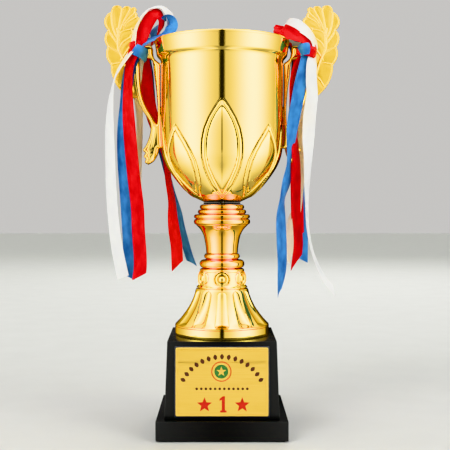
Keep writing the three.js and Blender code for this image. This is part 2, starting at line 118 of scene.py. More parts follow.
class Finish(Nodes):
    """A Principled material with helpers that add procedural detail."""

    def __init__(self, name, **fixed):
        self.material = bpy.data.materials.new(name)
        self.material.use_nodes = True
        super().__init__(self.material.node_tree)
        self.shader = self.nodes["Principled BSDF"]
        for socket, value in fixed.items():
            node_input(self.shader, socket.replace("_", " "), value)
        FINISHES[name] = self.material

    def place(self, stretch=(1, 1, 1), output="Object"):
        """Object coordinates in metres, or UVs, stretched per axis."""
        source = self.add("TexCoord")
        mapping = self.add("Mapping")
        node_input(mapping, "Scale", stretch)
        self.join(source.outputs[output], mapping.inputs["Vector"])
        return mapping.outputs["Vector"]

    def noise(self, where, scale, detail=3.0):
        node = self.add("TexNoise")
        node_input(node, "Scale", scale)
        node_input(node, "Detail", detail)
        self.join(where, node.inputs["Vector"])
        return node.outputs["Fac"]

    def waves(self, where, scale, direction="X", distortion=0.0):
        node = self.add("TexWave", bands_direction=direction)
        node_input(node, "Scale", scale)
        node_input(node, "Distortion", distortion)
        self.join(where, node.inputs["Vector"])
        return node.outputs["Fac"]

    def colour(self, output):
        self.join(output, self.shader.inputs["Base Color"])

    def roughness(self, output):
        self.join(output, self.shader.inputs["Roughness"])

    def bump(self, height, strength, distance):
        node = self.add("Bump")
        node_input(node, "Strength", strength)
        node_input(node, "Distance", distance)
        self.join(height, node.inputs["Height"])
        if self.shader.inputs["Normal"].is_linked:
            self.join(self.shader.inputs["Normal"].links[0].from_socket, node.inputs["Normal"])
        self.join(node.outputs["Normal"], self.shader.inputs["Normal"])


def gold(name, light, deep, rough, grain, edge, shade_in_grooves=False):
    """Electroplated gold: slow colour drift, faint haze in the polish and fine grain. With shade in grooves
    set, shade is painted into its colour in the grooves, where the mesh says so."""
    finish = Finish(name, Metallic=1.0, Specular_Tint=(*edge, 1.0))
    place = finish.place()
    plating = finish.ramp(finish.noise(place, 14.0), (0.35, deep), (0.65, light))
    if shade_in_grooves:
        # Shade painted into the colour: the plating darkens towards the groove colour where the attribute is
        # high.
        painted_groove_shade = finish.add("Attribute", attribute_name=GROOVE_SHADE_ATTRIBUTE)
        mix = finish.add("MixRGB")
        node_input(mix, "Color2", PAINTED_GROOVE_SHADE_COLOUR)
        finish.join(painted_groove_shade.outputs["Fac"], mix.inputs["Fac"])
        finish.join(plating, mix.inputs["Color1"])
        plating = mix.outputs["Color"]
    finish.colour(plating)
    finish.roughness(finish.between(finish.noise(place, 160.0, 5.0), *rough))
    finish.bump(finish.noise(place, grain, 4.0), 0.25, 0.00004)
    return finish.material


def metal(name, light, deep, rough, scale, bump):
    """Plain machined or cast metal with a mottled surface."""
    finish = Finish(name, Metallic=1.0)
    place = finish.place()
    finish.colour(finish.ramp(finish.noise(place, scale / 4), (0.3, deep), (0.7, light)))
    finish.roughness(finish.between(finish.noise(place, scale, 5.0), *rough))
    finish.bump(finish.noise(place, scale, 6.0), 0.5, bump)
    return finish.material


def moulding(name, light, deep, rough, scale, bump, **fixed):
    """Moulded plastic, rubber, foam or board."""
    finish = Finish(name, **fixed)
    place = finish.place()
    finish.colour(finish.ramp(finish.noise(place, scale / 3), (0.3, deep), (0.7, light)))
    finish.roughness(finish.between(finish.noise(place, scale / 5, 5.0), *rough))
    finish.bump(finish.noise(place, scale, 5.0), 0.4, bump)
    return finish.material


def brushed_sheet(name, light, deep):
    """Brushed gold sheet: streaks along X."""
    finish = Finish(name, Metallic=0.75, Anisotropic=0.5)
    streaks = finish.noise(finish.place((40, 900, 2600)), 1.0, 3.0)
    finish.colour(finish.ramp(streaks, (0.3, deep), (0.7, light)))
    finish.roughness(finish.between(streaks, 0.34, 0.5))
    finish.bump(streaks, 0.3, 0.00003)
    return finish.material


RIBBON_WIDTH = 12.0


def satin(name, light, deep, sheen):
    """Satin ribbon: fine ribs along its length, woven edges and a soft drift of tone. UVs are in metres."""
    finish = Finish(name, Sheen_Weight=0.06, Sheen_Roughness=0.35, Sheen_Tint=(*sheen, 1.0),
                    Specular_IOR_Level=0.12)
    flat = finish.place(output="UV")
    drift = finish.noise(finish.place((140, 60, 1), "UV"), 1.0, 2.0)
    finish.colour(finish.ramp(drift, (0.3, deep), (0.62, light)))
    finish.roughness(finish.between(finish.noise(flat, 900.0, 3.0), 0.34, 0.46))
    ribs = finish.waves(flat, 420.0, "Y")
    warp = finish.waves(flat, 700.0, "X")
    finish.bump(finish.math("ADD", ribs, warp), 0.16, 0.00006)
    split = finish.add("SeparateXYZ")
    finish.join(flat, split.inputs["Vector"])
    middle = RIBBON_WIDTH * MM / 2
    from_middle = finish.math("ABSOLUTE", finish.math("SUBTRACT", split.outputs["X"], middle))
    edge = finish.between(from_middle, 0.0, 1.0, middle - 0.0009, middle - 0.0004)
    finish.bump(edge, 0.5, 0.0001)
    return finish.material


def enamel(name, light, deep):
    """Printed enamel, slightly uneven."""
    return moulding(name, light, deep, (0.32, 0.42), 900.0, 0.00001)


GILT = ((0.93, 0.68, 0.17), (0.91, 0.64, 0.15), (0.035, 0.075), 900.0, (1.0, 0.62, 0.22))
polished_gold = gold("polished_gold", *GILT)
# Polished gold with shade painted into its grooves, where a piece's mesh marks them.
gold_with_painted_groove_shade = gold("gold_with_painted_groove_shade", *GILT, shade_in_grooves=True)
stem_gold = gold("stem_gold", (0.86, 0.50, 0.09), (0.81, 0.45, 0.07), (0.04, 0.08), 900.0, (1.0, 0.42, 0.16))
satin_gold = gold("satin_gold", (0.86, 0.58, 0.1), (0.81, 0.53, 0.08), (0.36, 0.46), 2600.0, (1.0, 0.8, 0.4))
metal("zinc_steel", (0.62, 0.63, 0.66), (0.5, 0.5, 0.53), (0.25, 0.42), 500.0, 0.00003)
metal("cast_iron", (0.10, 0.10, 0.11), (0.06, 0.06, 0.065), (0.6, 0.8), 700.0, 0.0003)
black_plastic = moulding("black_plastic", (0.0115, 0.0115, 0.012), (0.009, 0.009, 0.0095), (0.22, 0.27),
                         3200.0, 0.000004, IOR=1.38)
backing_black = moulding("backing_black", (0.012, 0.013, 0.028), (0.008, 0.009, 0.02), (0.5, 0.7), 1200.0,
                         0.0001)
black_rubber = moulding("black_rubber", (0.006, 0.006, 0.006), (0.004, 0.004, 0.004), (0.8, 0.9), 1200.0,
                        0.0001, Specular_IOR_Level=0.1)
moulding("fibre_board", (0.26, 0.2, 0.15), (0.18, 0.14, 0.1), (0.85, 0.95), 1500.0, 0.0003)
foam_pad = moulding("foam_pad", (0.03, 0.03, 0.03), (0.015, 0.015, 0.015), (0.9, 0.97), 1800.0, 0.0004)
plaque_gold = brushed_sheet("plaque_gold", (0.65, 0.43, 0.09), (0.60, 0.385, 0.072))
print_dark = enamel("print_dark", (0.10, 0.028, 0.012), (0.07, 0.018, 0.01))
print_red = enamel("print_red", (0.66, 0.03, 0.015), (0.55, 0.02, 0.01))
print_orange = enamel("print_orange", (0.70, 0.13, 0.03), (0.6, 0.09, 0.02))
print_green = enamel("print_green", (0.06, 0.22, 0.05), (0.035, 0.15, 0.035))
satins = {
    "red": satin("satin_red", (0.80, 0.002, 0.004), (0.52, 0.0015, 0.003), (1.0, 0.25, 0.2)),
    "white": satin("satin_white", (0.92, 0.91, 0.91), (0.82, 0.81, 0.83), (1.0, 1.0, 1.0)),
    "blue": satin("satin_blue", (0.085, 0.31, 0.72), (0.03, 0.13, 0.42), (0.5, 0.75, 1.0)),
}


# ---- mesh helpers ----

def finish_mesh(mesh, sharp=35.0):
    """Outward faces, shaded smooth except over sharp edges."""
    work = bmesh.new()
    work.from_mesh(mesh)
    bmesh.ops.recalc_face_normals(work, faces=work.faces)
    work.to_mesh(mesh)
    work.free()
    mesh.polygons.foreach_set("use_smooth", [True] * len(mesh.polygons))
    mesh.set_sharp_from_angle(angle=math.radians(sharp))


def add_piece(name, points, faces, material, slot=None, replaces=(), sharp=35.0):
    """A new mesh piece from points in millimetres."""
    mesh = bpy.data.meshes.new(name)
    mesh.from_pydata((np.asarray(points, float) * MM).tolist(), [], faces)
    finish_mesh(mesh, sharp)
    return place_piece(name, mesh, material, replaces)


def place_piece(name, mesh, material, replaces=()):
    mesh.materials.clear()
    mesh.materials.append(material)
    piece = bpy.data.objects.new(name, mesh)
    scene.collection.objects.link(piece)
    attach(piece, "root")
    if replaces:
        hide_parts(*replaces)
    return piece


def joined(*parts):
    """One list of points and faces from several (points, faces)."""
    points, faces, offset = [], [], 0
    for part_points, part_faces in parts:
        points.append(np.asarray(part_points, float))
        faces += [[index + offset for index in face] for face in part_faces]
        offset += len(part_points)
    return np.concatenate(points), faces


def grid_faces(rows, columns, wrap_rows=False, wrap_columns=False):
    index = np.arange(rows * columns).reshape(rows, columns)
    if wrap_rows:
        index = np.vstack([index, index[:1]])
    if wrap_columns:
        index = np.hstack([index, index[:, :1]])
    corners = (index[:-1, :-1], index[:-1, 1:], index[1:, 1:], index[1:, :-1])
    return np.stack(corners, -1).reshape(-1, 4).tolist()


def catmull(points, steps, closed=False):
    """Points of a smooth curve through the given ones, with any number of values in each."""
    p = np.asarray(points, float)
    if closed:
        p = np.vstack([p[-1:], p, p[:2]])
    else:
        p = np.vstack([2 * p[0] - p[1], p, 2 * p[-1] - p[-2]])
    t = (np.arange(steps) / steps)[:, None]
    pieces = []
    for a, b, c, d in zip(p[:-3], p[1:-2], p[2:-1], p[3:]):
        bend = (2 * a - 5 * b + 4 * c - d) * t ** 2 + (3 * b - a - 3 * c + d) * t ** 3
        pieces.append(0.5 * (2 * b + (c - a) * t + bend))
    line = np.vstack(pieces)
    return line if closed else np.vstack([line, p[-2:-1]])


def filleted(corners, steps=5):
    """A closed profile of (radius, height, fillet) corners with each corner rounded."""
    p = np.asarray([corner[:2] for corner in corners], float)
    line = []
    for i, corner in enumerate(corners):
        before, here, after = p[i - 1], p[i], p[(i + 1) % len(p)]
        fillet = corner[2] if len(corner) > 2 else 0.0
        if fillet == 0:
            line.append(here)
            continue
        reach = [min(fillet, 0.49 * np.linalg.norm(other - here)) for other in (before, after)]
        start = here + (before - here) / np.linalg.norm(before - here) * reach[0]
        end = here + (after - here) / np.linalg.norm(after - here) * reach[1]
        for t in np.linspace(0, 1, steps):
            line.append((1 - t) ** 2 * start + 2 * t * (1 - t) * here + t ** 2 * end)
    return np.array(line)


def revolve(profile, segments=120, shift=None):
    """Points and faces of a closed (radius, height) profile turned about Z.
    shift(angle, height, radius) adds to the radius."""
    profile = np.asarray(profile, float)
    angle = np.arange(segments) * 2 * math.pi / segments
    radius = np.repeat(profile[:, :1], segments, 1)
    height = np.repeat(profile[:, 1:2], segments, 1)
    if shift is not None:
        radius = radius + shift(angle[None, :], height, radius)
    points = np.stack([radius * np.cos(angle), radius * np.sin(angle), height], -1).reshape(-1, 3)
    return points, grid_faces(len(profile), segments, True, True)


def copied(node, name, bevel, segments=3, sharp=50.0):
    """A CAD node's own mesh, cleaned of coplanar edges and with its sharp edges rounded."""
    mesh = frame["nodes"][node].data.copy()
    work = bmesh.new()
    work.from_mesh(mesh)
    bmesh.ops.remove_doubles(work, verts=work.verts, dist=1e-6)
    bmesh.ops.dissolve_limit(work, angle_limit=math.radians(0.5), verts=work.verts, edges=work.edges)
    limit = math.radians(sharp)
    edges = [edge for edge in work.edges if len(edge.link_faces) == 2 and edge.calc_face_angle() > limit]
    if bevel:
        bmesh.ops.bevel(work, geom=edges, offset=bevel * MM, segments=segments, profile=0.5, affect="EDGES",
                        clamp_overlap=True)
    work.to_mesh(mesh)
    work.free()
    finish_mesh(mesh)
    return mesh


# ---- plinth ----

for node, bevel in (("plinth_block", 1.3), ("plinth_slab", 1.0)):
    place_piece(node + "_moulding", copied(node, node, bevel), black_plastic, [node])
place_piece("base_pad_foam", copied("base_pad", "base_pad", 0.3), foam_pad, ["base_pad"])

# The plaque leans back with the front of the plinth.
block_low, block_high = span("plinth_block")
slab_low, slab_high = span("plinth_slab")
plaque_low, plaque_high = span("plaque")
BLOCK_TAPER = 2.4  # the front of the block leans back by this much over its height
lean = math.atan(BLOCK_TAPER / (block_high[2] - block_low[2]))
PLAQUE_THICKNESS = 1.2
plaque_height = (plaque_high[2] - plaque_low[2]) / math.cos(lean) - PLAQUE_THICKNESS * math.tan(lean)
plaque_width = plaque_high[0] - plaque_low[0]
plaque_middle = (plaque_low + plaque_high) / 2
tilt = Matrix.Rotation(-lean, 3, "X")


def on_plaque(points):
    """Points as (across, out of the plaque's middle plane, up) put in place."""
    turned = np.asarray(points, float) * (1, -1, 1) @ np.array(tilt.transposed())
    return turned + plaque_middle


def nested_plate(width, height, corner, rings):
    """A plate with rounded corners, from rings of (inset, distance out) from its back edge to its middle."""
    loops = []
    for inset, out in rings:
        half_width, half_height = width / 2 - inset, height / 2 - inset
        radius = max(corner - inset, 0.3)
        for centre_x, centre_z, start in ((1, 1, 0), (-1, 1, 90), (-1, -1, 180), (1, -1, 270)):
            for step in range(6):
                angle = math.radians(start + step * 18)
                loops.append((centre_x * (half_width - radius) + radius * math.cos(angle), out,
                              centre_z * (half_height - radius) + radius * math.sin(angle)))
    per_ring = 24
    faces = grid_faces(len(rings), per_ring, False, True)
    last = len(loops) - per_ring
    faces.append(list(range(per_ring))[::-1])
    faces.append(list(range(last, last + per_ring)))
    return np.array(loops), faces


FRONT = PLAQUE_THICKNESS / 2
plaque_rings = [(0, -FRONT), (0, FRONT - 0.3), (0.3, FRONT), (1.5, FRONT), (1.7, FRONT - 0.25),
                (2.0, FRONT - 0.25), (2.2, FRONT)]
points, faces = nested_plate(plaque_width, plaque_height, 1.2, plaque_rings)
add_piece("plaque_sheet", on_plaque(points), faces, plaque_gold, "plaque_gold", ["plaque"], 20)
place_piece("plaque_backing_tape", copied("plaque_backing", "plaque_backing", 0.25), backing_black,
            ["plaque_backing"])

PRINT = 0.07  # thickness of one layer of printed enamel


def stamped(outlines, layer=1):
    """Thin prisms on the plaque's front, from outlines of (across, up). Higher layers cover lower ones."""
    parts = []
    for outline in outlines:
        outline = np.asarray(outline, float)
        count = len(outline)
        back = np.column_stack([outline[:, 0], np.full(count, FRONT - PRINT), outline[:, 1]])
        front = back + (0, (layer + 1) * PRINT, 0)
        caps = [list(range(count))[::-1], list(range(count, 2 * count))]
        parts.append((np.vstack([back, front]), grid_faces(2, count, False, True) + caps))
    points, faces = joined(*parts)
    return on_plaque(points), faces


def turned_outline(outline, angle, centre):
    c, s = math.cos(angle), math.sin(angle)
    return np.asarray(outline) @ np.array([[c, s], [-s, c]]) + centre


def star(outer, inner, count=5):
    angles = np.arange(2 * count) * math.pi / count + math.pi / 2
    radii = np.where(np.arange(2 * count) % 2 == 0, outer, inner)
    return np.column_stack([radii * np.cos(angles), radii * np.sin(angles)])


def disc(radius, count=40):
    angles = np.arange(count) * 2 * math.pi / count
    return np.column_stack([radius * np.cos(angles), radius * np.sin(angles)])


# A generic ornament: an arc of leaf marks, a medallion with a star, a row of dots, and a 1 between two stars.
ARC_CENTRE = (0.0, -17.3)
ARC_RADIUS = 39.7
ARC_MARKS = 15
ARC_HALF_ANGLE = math.radians(61)
LEAF_MARK = [(-1.9, 0.2), (-1.2, 1.6), (0, 2.7), (1.2, 1.6), (1.9, 0.2), (1.3, -1.5), (0, -2.6), (-1.3, -1.5)]
DOTS = 12
DOT_SPACING = 4.1
DOT_ROW = -6.0
dark_marks = []
for step in np.linspace(-1, 1, ARC_MARKS):
    angle = step * ARC_HALF_ANGLE
    centre = (ARC_CENTRE[0] + ARC_RADIUS * math.sin(angle), ARC_CENTRE[1] + ARC_RADIUS * math.cos(angle))
    dark_marks.append(turned_outline(LEAF_MARK, -angle, centre))
for index in range(DOTS):
    dark_marks.append(disc(1.2, 16) + ((index - (DOTS - 1) / 2) * DOT_SPACING, DOT_ROW))
add_piece("plaque_print_dark", *stamped(dark_marks), print_dark)

EMBLEM = (-0.6, 9.3)
for layer, (name, outline, material) in enumerate((
        ("ring", disc(9.1), print_orange), ("field", disc(8.0), plaque_gold),
        ("centre", disc(6.2), print_green), ("star", star(4.6, 1.9), plaque_gold))):
    add_piece("plaque_emblem_" + name, *stamped([outline + EMBLEM], layer + 1), material)

NUMERAL = [(-2.9, -7.2), (2.9, -7.2), (2.9, -5.4), (1.4, -5.4), (1.4, 7.2), (-0.4, 7.2), (-3.4, 4.9),
           (-3.4, 2.9), (-1.4, 4.0), (-1.4, -5.4), (-2.9, -5.4)]
RED_ROW = -19.7
red_marks = [np.array(NUMERAL) + (1.2, RED_ROW)]
for across in (-15.6, 18.0):
    red_marks.append(star(7.0, 3.0) + (across, RED_ROW - 0.6))
add_piece("plaque_print_red", *stamped(red_marks), print_red)


# ---- foot and stem ----

BORE = 3.4
FLUTES = 12
FLUTE_HALF = math.radians(8.5)
FLUTE_DEPTH = 1.7
FLUTE_ARCH = 126.5  # the flutes' tops round off above this height
FLUTE_TOP = 130.2
FLUTE_FOOT = 98.2


def rising(value, start, end):
    """0 up to the start, 1 from the end on, and even between."""
    return np.clip((value - start) / (end - start), 0, 1)


def off_nearest(angle, count=1):
    """Signed angle from the nearest of some evenly spaced directions, one of them the front."""
    period = 2 * math.pi / count
    return (angle + math.pi / 2 + period / 2) % period - period / 2


def channel(angle, height):
    """How far each point is off its channel's middle, the channel's half width, and how far up its arch."""
    above = rising(height, FLUTE_ARCH, FLUTE_TOP)
    return np.abs(off_nearest(angle, FLUTES)), FLUTE_HALF * np.sqrt(1 - above ** 2), above


def flutes(angle, height, radius):
    """Hollow channels down the skirt with arched tops."""
    off, half, above = channel(angle, height)
    hollow = np.clip(1 - (off / np.maximum(half, 1e-6)) ** 2, 0, 1)
    fade = rising(height, FLUTE_FOOT, FLUTE_FOOT + 3) * (radius > 24.5)
    return -FLUTE_DEPTH * hollow ** 0.8 * fade * np.sqrt(1 - above ** 2 * 0.8)


def flute_edge_shade(angle, height, radius):
    """How much shade is painted into the plating along the edges of the channels."""
    off, half, _ = channel(angle, height)
    on_skirt = (height > FLUTE_FOOT + 1.5) * (height < FLUTE_TOP) * (radius > 23.5)
    return 0.55 * np.exp(-((off - half) * radius / 0.55) ** 2) * on_skirt


def paint_groove_shade(piece, painted_shade_of):
    """Writes the attribute of painted shade at each vertex, from the given function of angle, height and
    radius.
    """
    corners = np.zeros(len(piece.data.vertices) * 3)
    piece.data.vertices.foreach_get("co", corners)
    x, y, z = corners.reshape(-1, 3).T / MM
    values = np.clip(painted_shade_of(np.arctan2(y, x), z, np.hypot(x, y)), 0, 1).astype(np.float32)
    piece.data.attributes.new(GROOVE_SHADE_ATTRIBUTE, "FLOAT", "POINT").data.foreach_set("value", values)


def profile_of(*parts):
    return np.vstack([np.asarray(part, float).reshape(-1, 2) for part in parts])


def bead(inner, outer, bottom, top, steps=9):
    """A half-round ring in a profile, from its bottom to its top."""
    angle = np.linspace(-math.pi / 2, math.pi / 2, steps)
    heights = (bottom + top) / 2 + (top - bottom) / 2 * np.sin(angle)
    return np.column_stack([inner + (outer - inner) * np.cos(angle), heights])


def turned_piece(name, node, profile, material, slot, segments=144, shift=None, extra=(), sharp=35.0):
    parts = [revolve(profile, segments, shift), *extra]
    return add_piece(name, *joined(*parts), material, slot, [node] if node else [], sharp)


foot_low, foot_high = span("foot_bell")
SKIRT = [(44.1, 98.4), (38.8, 104.1), (32.2, 113.2), (27.7, 122.1), (25.2, 129.5), (24.2, 131.6)]
foot_profile = profile_of(
    filleted([(BORE, 129.6), (BORE, foot_high[2]), (22.6, foot_high[2], 0.4)])[::-1],
    catmull(SKIRT, 14)[::-1],
    bead(43.7, 44.3, 96.6, 98.2, 5)[::-1],
    [(44.3, 96.4), (44.3, 96.0), (44.3, 91.0), (44.3, 90.6), (43.9, 89.2), (43.1, foot_low[2])],
    [(41, foot_low[2]), (41, 96), (36, 102), (29.5, 111), (25, 120.5), (21, 128.1)])
foot = turned_piece("foot_bell_gilt", "foot_bell", foot_profile, gold_with_painted_groove_shade, "polished_gold", 288, flutes,
                    sharp=30)
# Shade painted into the plating along the edges of the flutes.
paint_groove_shade(foot, flute_edge_shade)

collar_low, collar_high = span("foot_collar")
MEDALLIONS = 6
MEDALLION_HEIGHT = 141.2
COLLAR_RADIUS = 20.6
MEDALLION_PROFILE = [(0, 1.9), (1.8, 1.7), (2.9, 0.7), (3.5, 0.1), (4.2, 0.2), (4.9, 1.3), (5.6, 1.2),
                     (6.2, 0.1), (6.8, 0.2), (7.4, 1.4), (8.0, 0.3), (8.0, -2.0), (0, -2.0)]


def medallion(index):
    """A round boss with two raised rings, standing out from the collar."""
    rings = np.array(MEDALLION_PROFILE)
    smooth = profile_of(catmull(rings[:11], 4), rings[11:])
    smooth[0, 0] = smooth[-1, 0] = 0.01
    points, faces = revolve(smooth, 48)
    facing = np.column_stack([points[:, 0], -COLLAR_RADIUS - points[:, 2], points[:, 1] + MEDALLION_HEIGHT])
    angle = index * 2 * math.pi / MEDALLIONS
    c, s = math.cos(angle), math.sin(angle)
    return facing @ np.array([[c, s, 0], [-s, c, 0], [0, 0, 1]]), faces


def medallion_ring_shade(angle, height, radius):
    """How much shade is painted into the plating in the hollows between each medallion's rings."""
    from_centre = np.hypot(radius * np.sin(off_nearest(angle, MEDALLIONS)), height - MEDALLION_HEIGHT)
    hollows = np.exp(-((from_centre - 3.8) / 0.5) ** 2) + np.exp(-((from_centre - 6.5) / 0.4) ** 2)
    return 0.6 * hollows * (radius > COLLAR_RADIUS)


COLLAR_FLARE = [(20.3, 147), (20.5, 143), (21, 139), (22.1, 135.4), (23.9, 133.2)]
COLLAR_LIP = [(19.8, collar_high[2]), (20.9, 149.6, 0.6), (20.9, 147.9, 0.6), (20.3, 147.2)]
collar_profile = profile_of([(15, collar_high[2])], filleted(COLLAR_LIP), catmull(COLLAR_FLARE, 5),
                            [(23.9, collar_low[2]), (15, collar_low[2])])
collar = turned_piece("foot_collar_gilt", "foot_collar", collar_profile, gold_with_painted_groove_shade, "polished_gold",
                      extra=[medallion(index) for index in range(MEDALLIONS)])
# Shade painted into the plating in the hollows between the medallions' rings.
paint_groove_shade(collar, medallion_ring_shade)

ring_low, ring_high = span("stem_ring")
ring_profile = profile_of([(BORE, ring_low[2]), (18.8, ring_low[2])],
                          bead(17.6, 21.2, ring_low[2] + 0.4, 158.6, 15), [(16.0, 158.9), (15.2, 159.3)],
                          bead(14.6, 16.9, 159.5, 164.5, 13), [(14.4, ring_high[2]), (BORE, ring_high[2])])
turned_piece("stem_ring_gilt", "stem_ring", ring_profile, stem_gold, "polished_gold")

knob_low, knob_high = span("stem_knob")
FLARE = [(15.0, knob_low[2] + 0.2), (15.3, 170), (16.2, 176), (17.6, 181.8), (20.3, 187), (24.4, 191.4)]
KNOB_BEADS = [(24.6, 26.7, 191.9, 197.2), (24.6, 26.5, 197.5, 201.4), (21.0, 22.9, 201.7, 206.0),
              (19.2, 21.0, 206.2, 210.6)]
knob_profile = profile_of([(12, knob_low[2]), (14.8, knob_low[2])], catmull(FLARE, 8),
                          *[bead(*ring, 11) for ring in KNOB_BEADS],
                          [(18.6, knob_high[2]), (BORE, knob_high[2])],
                          [(BORE, 206), (18, 203), (20, 195), (14, 184)])
turned_piece("stem_knob_gilt", "stem_knob", knob_profile, stem_gold, "polished_gold")

gasket_low, gasket_high = span("bowl_gasket")
gasket_profile = filleted([(BORE, gasket_low[2]), (17.5, gasket_low[2], 0.5), (17.5, gasket_high[2], 0.5),
                           (BORE, gasket_high[2])])
turned_piece("bowl_gasket_ring", "bowl_gasket", gasket_profile, black_rubber, "black_rubber", 96)


# ---- cup ----

bowl_low, bowl_high = span("cup_bowl")
BOWL_WALL = 1.6
WALL = [(17, bowl_low[2]), (27.5, 218.4), (35.6, 226), (45.9, 239), (52.2, 250), (55.6, 262), (57, 284),
        (57.7, 318), (57.7, 343.5)]
BAND_CURVE = [(57.7, 343.5), (57.9, 345.6), (58.8, 347.8), (60.3, 349.4), (61.5, 350.9), (62.0, 353.0)]
RIM_RADIUS = bowl_high[0]
# Each kind of petal: its centres in degrees from the front, and (height, half angle in degrees) of two
# outlines.
TALL_PETALS = (0, 90, 180, 270)
SHORT_PETALS = (48.5, 131.5, 228.5, 311.5)
TALL_OUTER = [(216.4, 0), (222.5, 9.6), (229, 15.1), (236.6, 17.7), (243, 18.9), (254, 19.5), (263, 19.1),
              (270, 18.2), (278.4, 16.2), (288, 11.9), (296.5, 6.6), (301, 3.4), (304.5, 0)]
TALL_INNER = [(220.7, 0), (226, 5.0), (233.8, 10.0), (243.6, 13.6), (254, 14.9), (263, 14.7), (270, 13.9),
              (277, 12.3), (284.6, 9.6), (292, 5.6), (296, 2.8), (298.9, 0)]
SHORT_OUTER = [(216.6, 0), (221, 9), (227.5, 16.5), (234, 20), (242, 21.6), (250, 21.3), (259, 18.2),
               (267, 13.6), (276, 6.6), (280, 3.2), (283.3, 0)]
SHORT_INNER = [(221, 0), (226, 7), (232, 12.5), (240, 16.4), (250, 16.6), (258, 14), (266, 9.2),
               (272, 4.7), (275, 2.4), (278, 0)]
BORDER_RISE = 1.0
LEAF_RISE = 1.5
OUTLINE_DEPTH = 0.7
OUTLINE_WIDTH = 0.55
OUTLINE_SHADE_HEIGHTS = (247, 261)  # the heights between which the painted shade in the outline grooves comes in
# The heights between which the painted shade in the folds comes in.
FOLD_SHADE_HEIGHTS = (256, 260)
# Each kind of petal: centres, outlines, the painted shade in the outlines low down, the painted shade in the
# fold, how the painted shade spreads.
PETALS = [(TALL_PETALS, TALL_OUTER, TALL_INNER, 0.15, 0.9, 0.28),
          (SHORT_PETALS, SHORT_OUTER, SHORT_INNER, 0.5, 0.0, 0.5)]
# How strongly shade is painted into the petals' grooves.
PAINTED_SHADE_STRENGTH = 1.2


def half_angle(outline, height):
    heights, angles = np.array(outline, float).T
    return np.radians(np.interp(height, heights, angles, left=0, right=0))


def groove(distance):
    """A narrow groove along a line at this distance."""
    return OUTLINE_DEPTH * np.exp(-(distance / OUTLINE_WIDTH) ** 2)


def petal(off, height, outer, inner, radius):
    """How far one petal stands out, and the grooves round its border and round its folded leaf."""
    outside, inside = half_angle(outer, height), half_angle(inner, height)
    across = (off - inside) / np.maximum(outside - inside, 1e-6)
    border = BORDER_RISE * np.sqrt(np.clip(1 - (2 * across - 1) ** 2, 0, 1)) * (across > 0)
    fold = LEAF_RISE * np.clip(1 - off / np.maximum(inside, 1e-6), 0, 1) * np.clip(inside / 0.06, 0, 1)
    rise = np.maximum(border, fold) * np.clip((outside - off) * 60, 0, 1)
    around_border = groove((off - outside) * radius) * (outside > 0)
    around_leaf = groove((off - inside) * radius) * (inside > 0)
    return rise, np.maximum(around_border, around_leaf), groove(off * radius) * (inside > 0)


def relief(angle, height, radius):
    """How far the petals stand out, how deep their outlines are, and how much shade is painted into the
    plating in them.
    """
    rise, lines, groove_shade = 0 * height * angle, 0 * height * angle, 0 * height * angle
    upper = rising(height, *OUTLINE_SHADE_HEIGHTS)
    for centres, outer, inner, low_outline_shade, fold_shade_strength, spread in PETALS:
        for centre in centres:
            off = np.abs(off_nearest(angle - math.radians(centre)))
            more_rise, more_lines, fold = petal(off, height, outer, inner, radius)
            rise, lines = np.maximum(rise, more_rise), np.maximum(lines, more_lines)
            # Painted shade: the outline grooves darkened, more so higher up, and the fold's groove darkened
            # above its heights.
            outline_shade = (more_lines / OUTLINE_DEPTH) ** spread * np.maximum(upper, low_outline_shade)
            fold_shade = fold / OUTLINE_DEPTH * fold_shade_strength * rising(height, *FOLD_SHADE_HEIGHTS)
            groove_shade = np.maximum(groove_shade, outline_shade + fold_shade)
    on_bowl = (radius > 20) * (height < BAND_CURVE[0][1])
    return rise * on_bowl, lines * on_bowl, PAINTED_SHADE_STRENGTH * groove_shade * on_bowl


def petals(angle, height, radius):
    rise, lines, _ = relief(angle, height, radius)
    return rise - lines


outer_wall = np.vstack([catmull(WALL, 36)[:-1], catmull(BAND_CURVE, 6)])
tangent = np.gradient(outer_wall, axis=0)
tangent /= np.linalg.norm(tangent, axis=1)[:, None]
inner_wall = (outer_wall + np.column_stack([-tangent[:, 1], tangent[:, 0]]) * BOWL_WALL)[::-8]
lip = filleted([(RIM_RADIUS - 0.6, bowl_high[2] - 3.0), (RIM_RADIUS - 0.5, bowl_high[2] - 2.4, 0.5),
                (RIM_RADIUS, bowl_high[2] - 1.5, 0.6), (RIM_RADIUS - 0.4, bowl_high[2], 0.8),
                (61.9, bowl_high[2], 0.6), (61.7, bowl_high[2] - 1.6, 0.5), (60.4, 353)])
bowl_profile = profile_of([(BORE, bowl_low[2])], outer_wall, lip, inner_wall,
                          [(BORE, bowl_low[2] + BOWL_WALL)])
bowl = turned_piece("cup_bowl_gilt", "cup_bowl", bowl_profile, gold_with_painted_groove_shade, "polished_gold", 600, petals,
                    sharp=70)
# Shade is painted into the plating along the petals' outline grooves and folds.
paint_groove_shade(bowl, lambda *place: relief(*place)[2])


# ---- handles ----

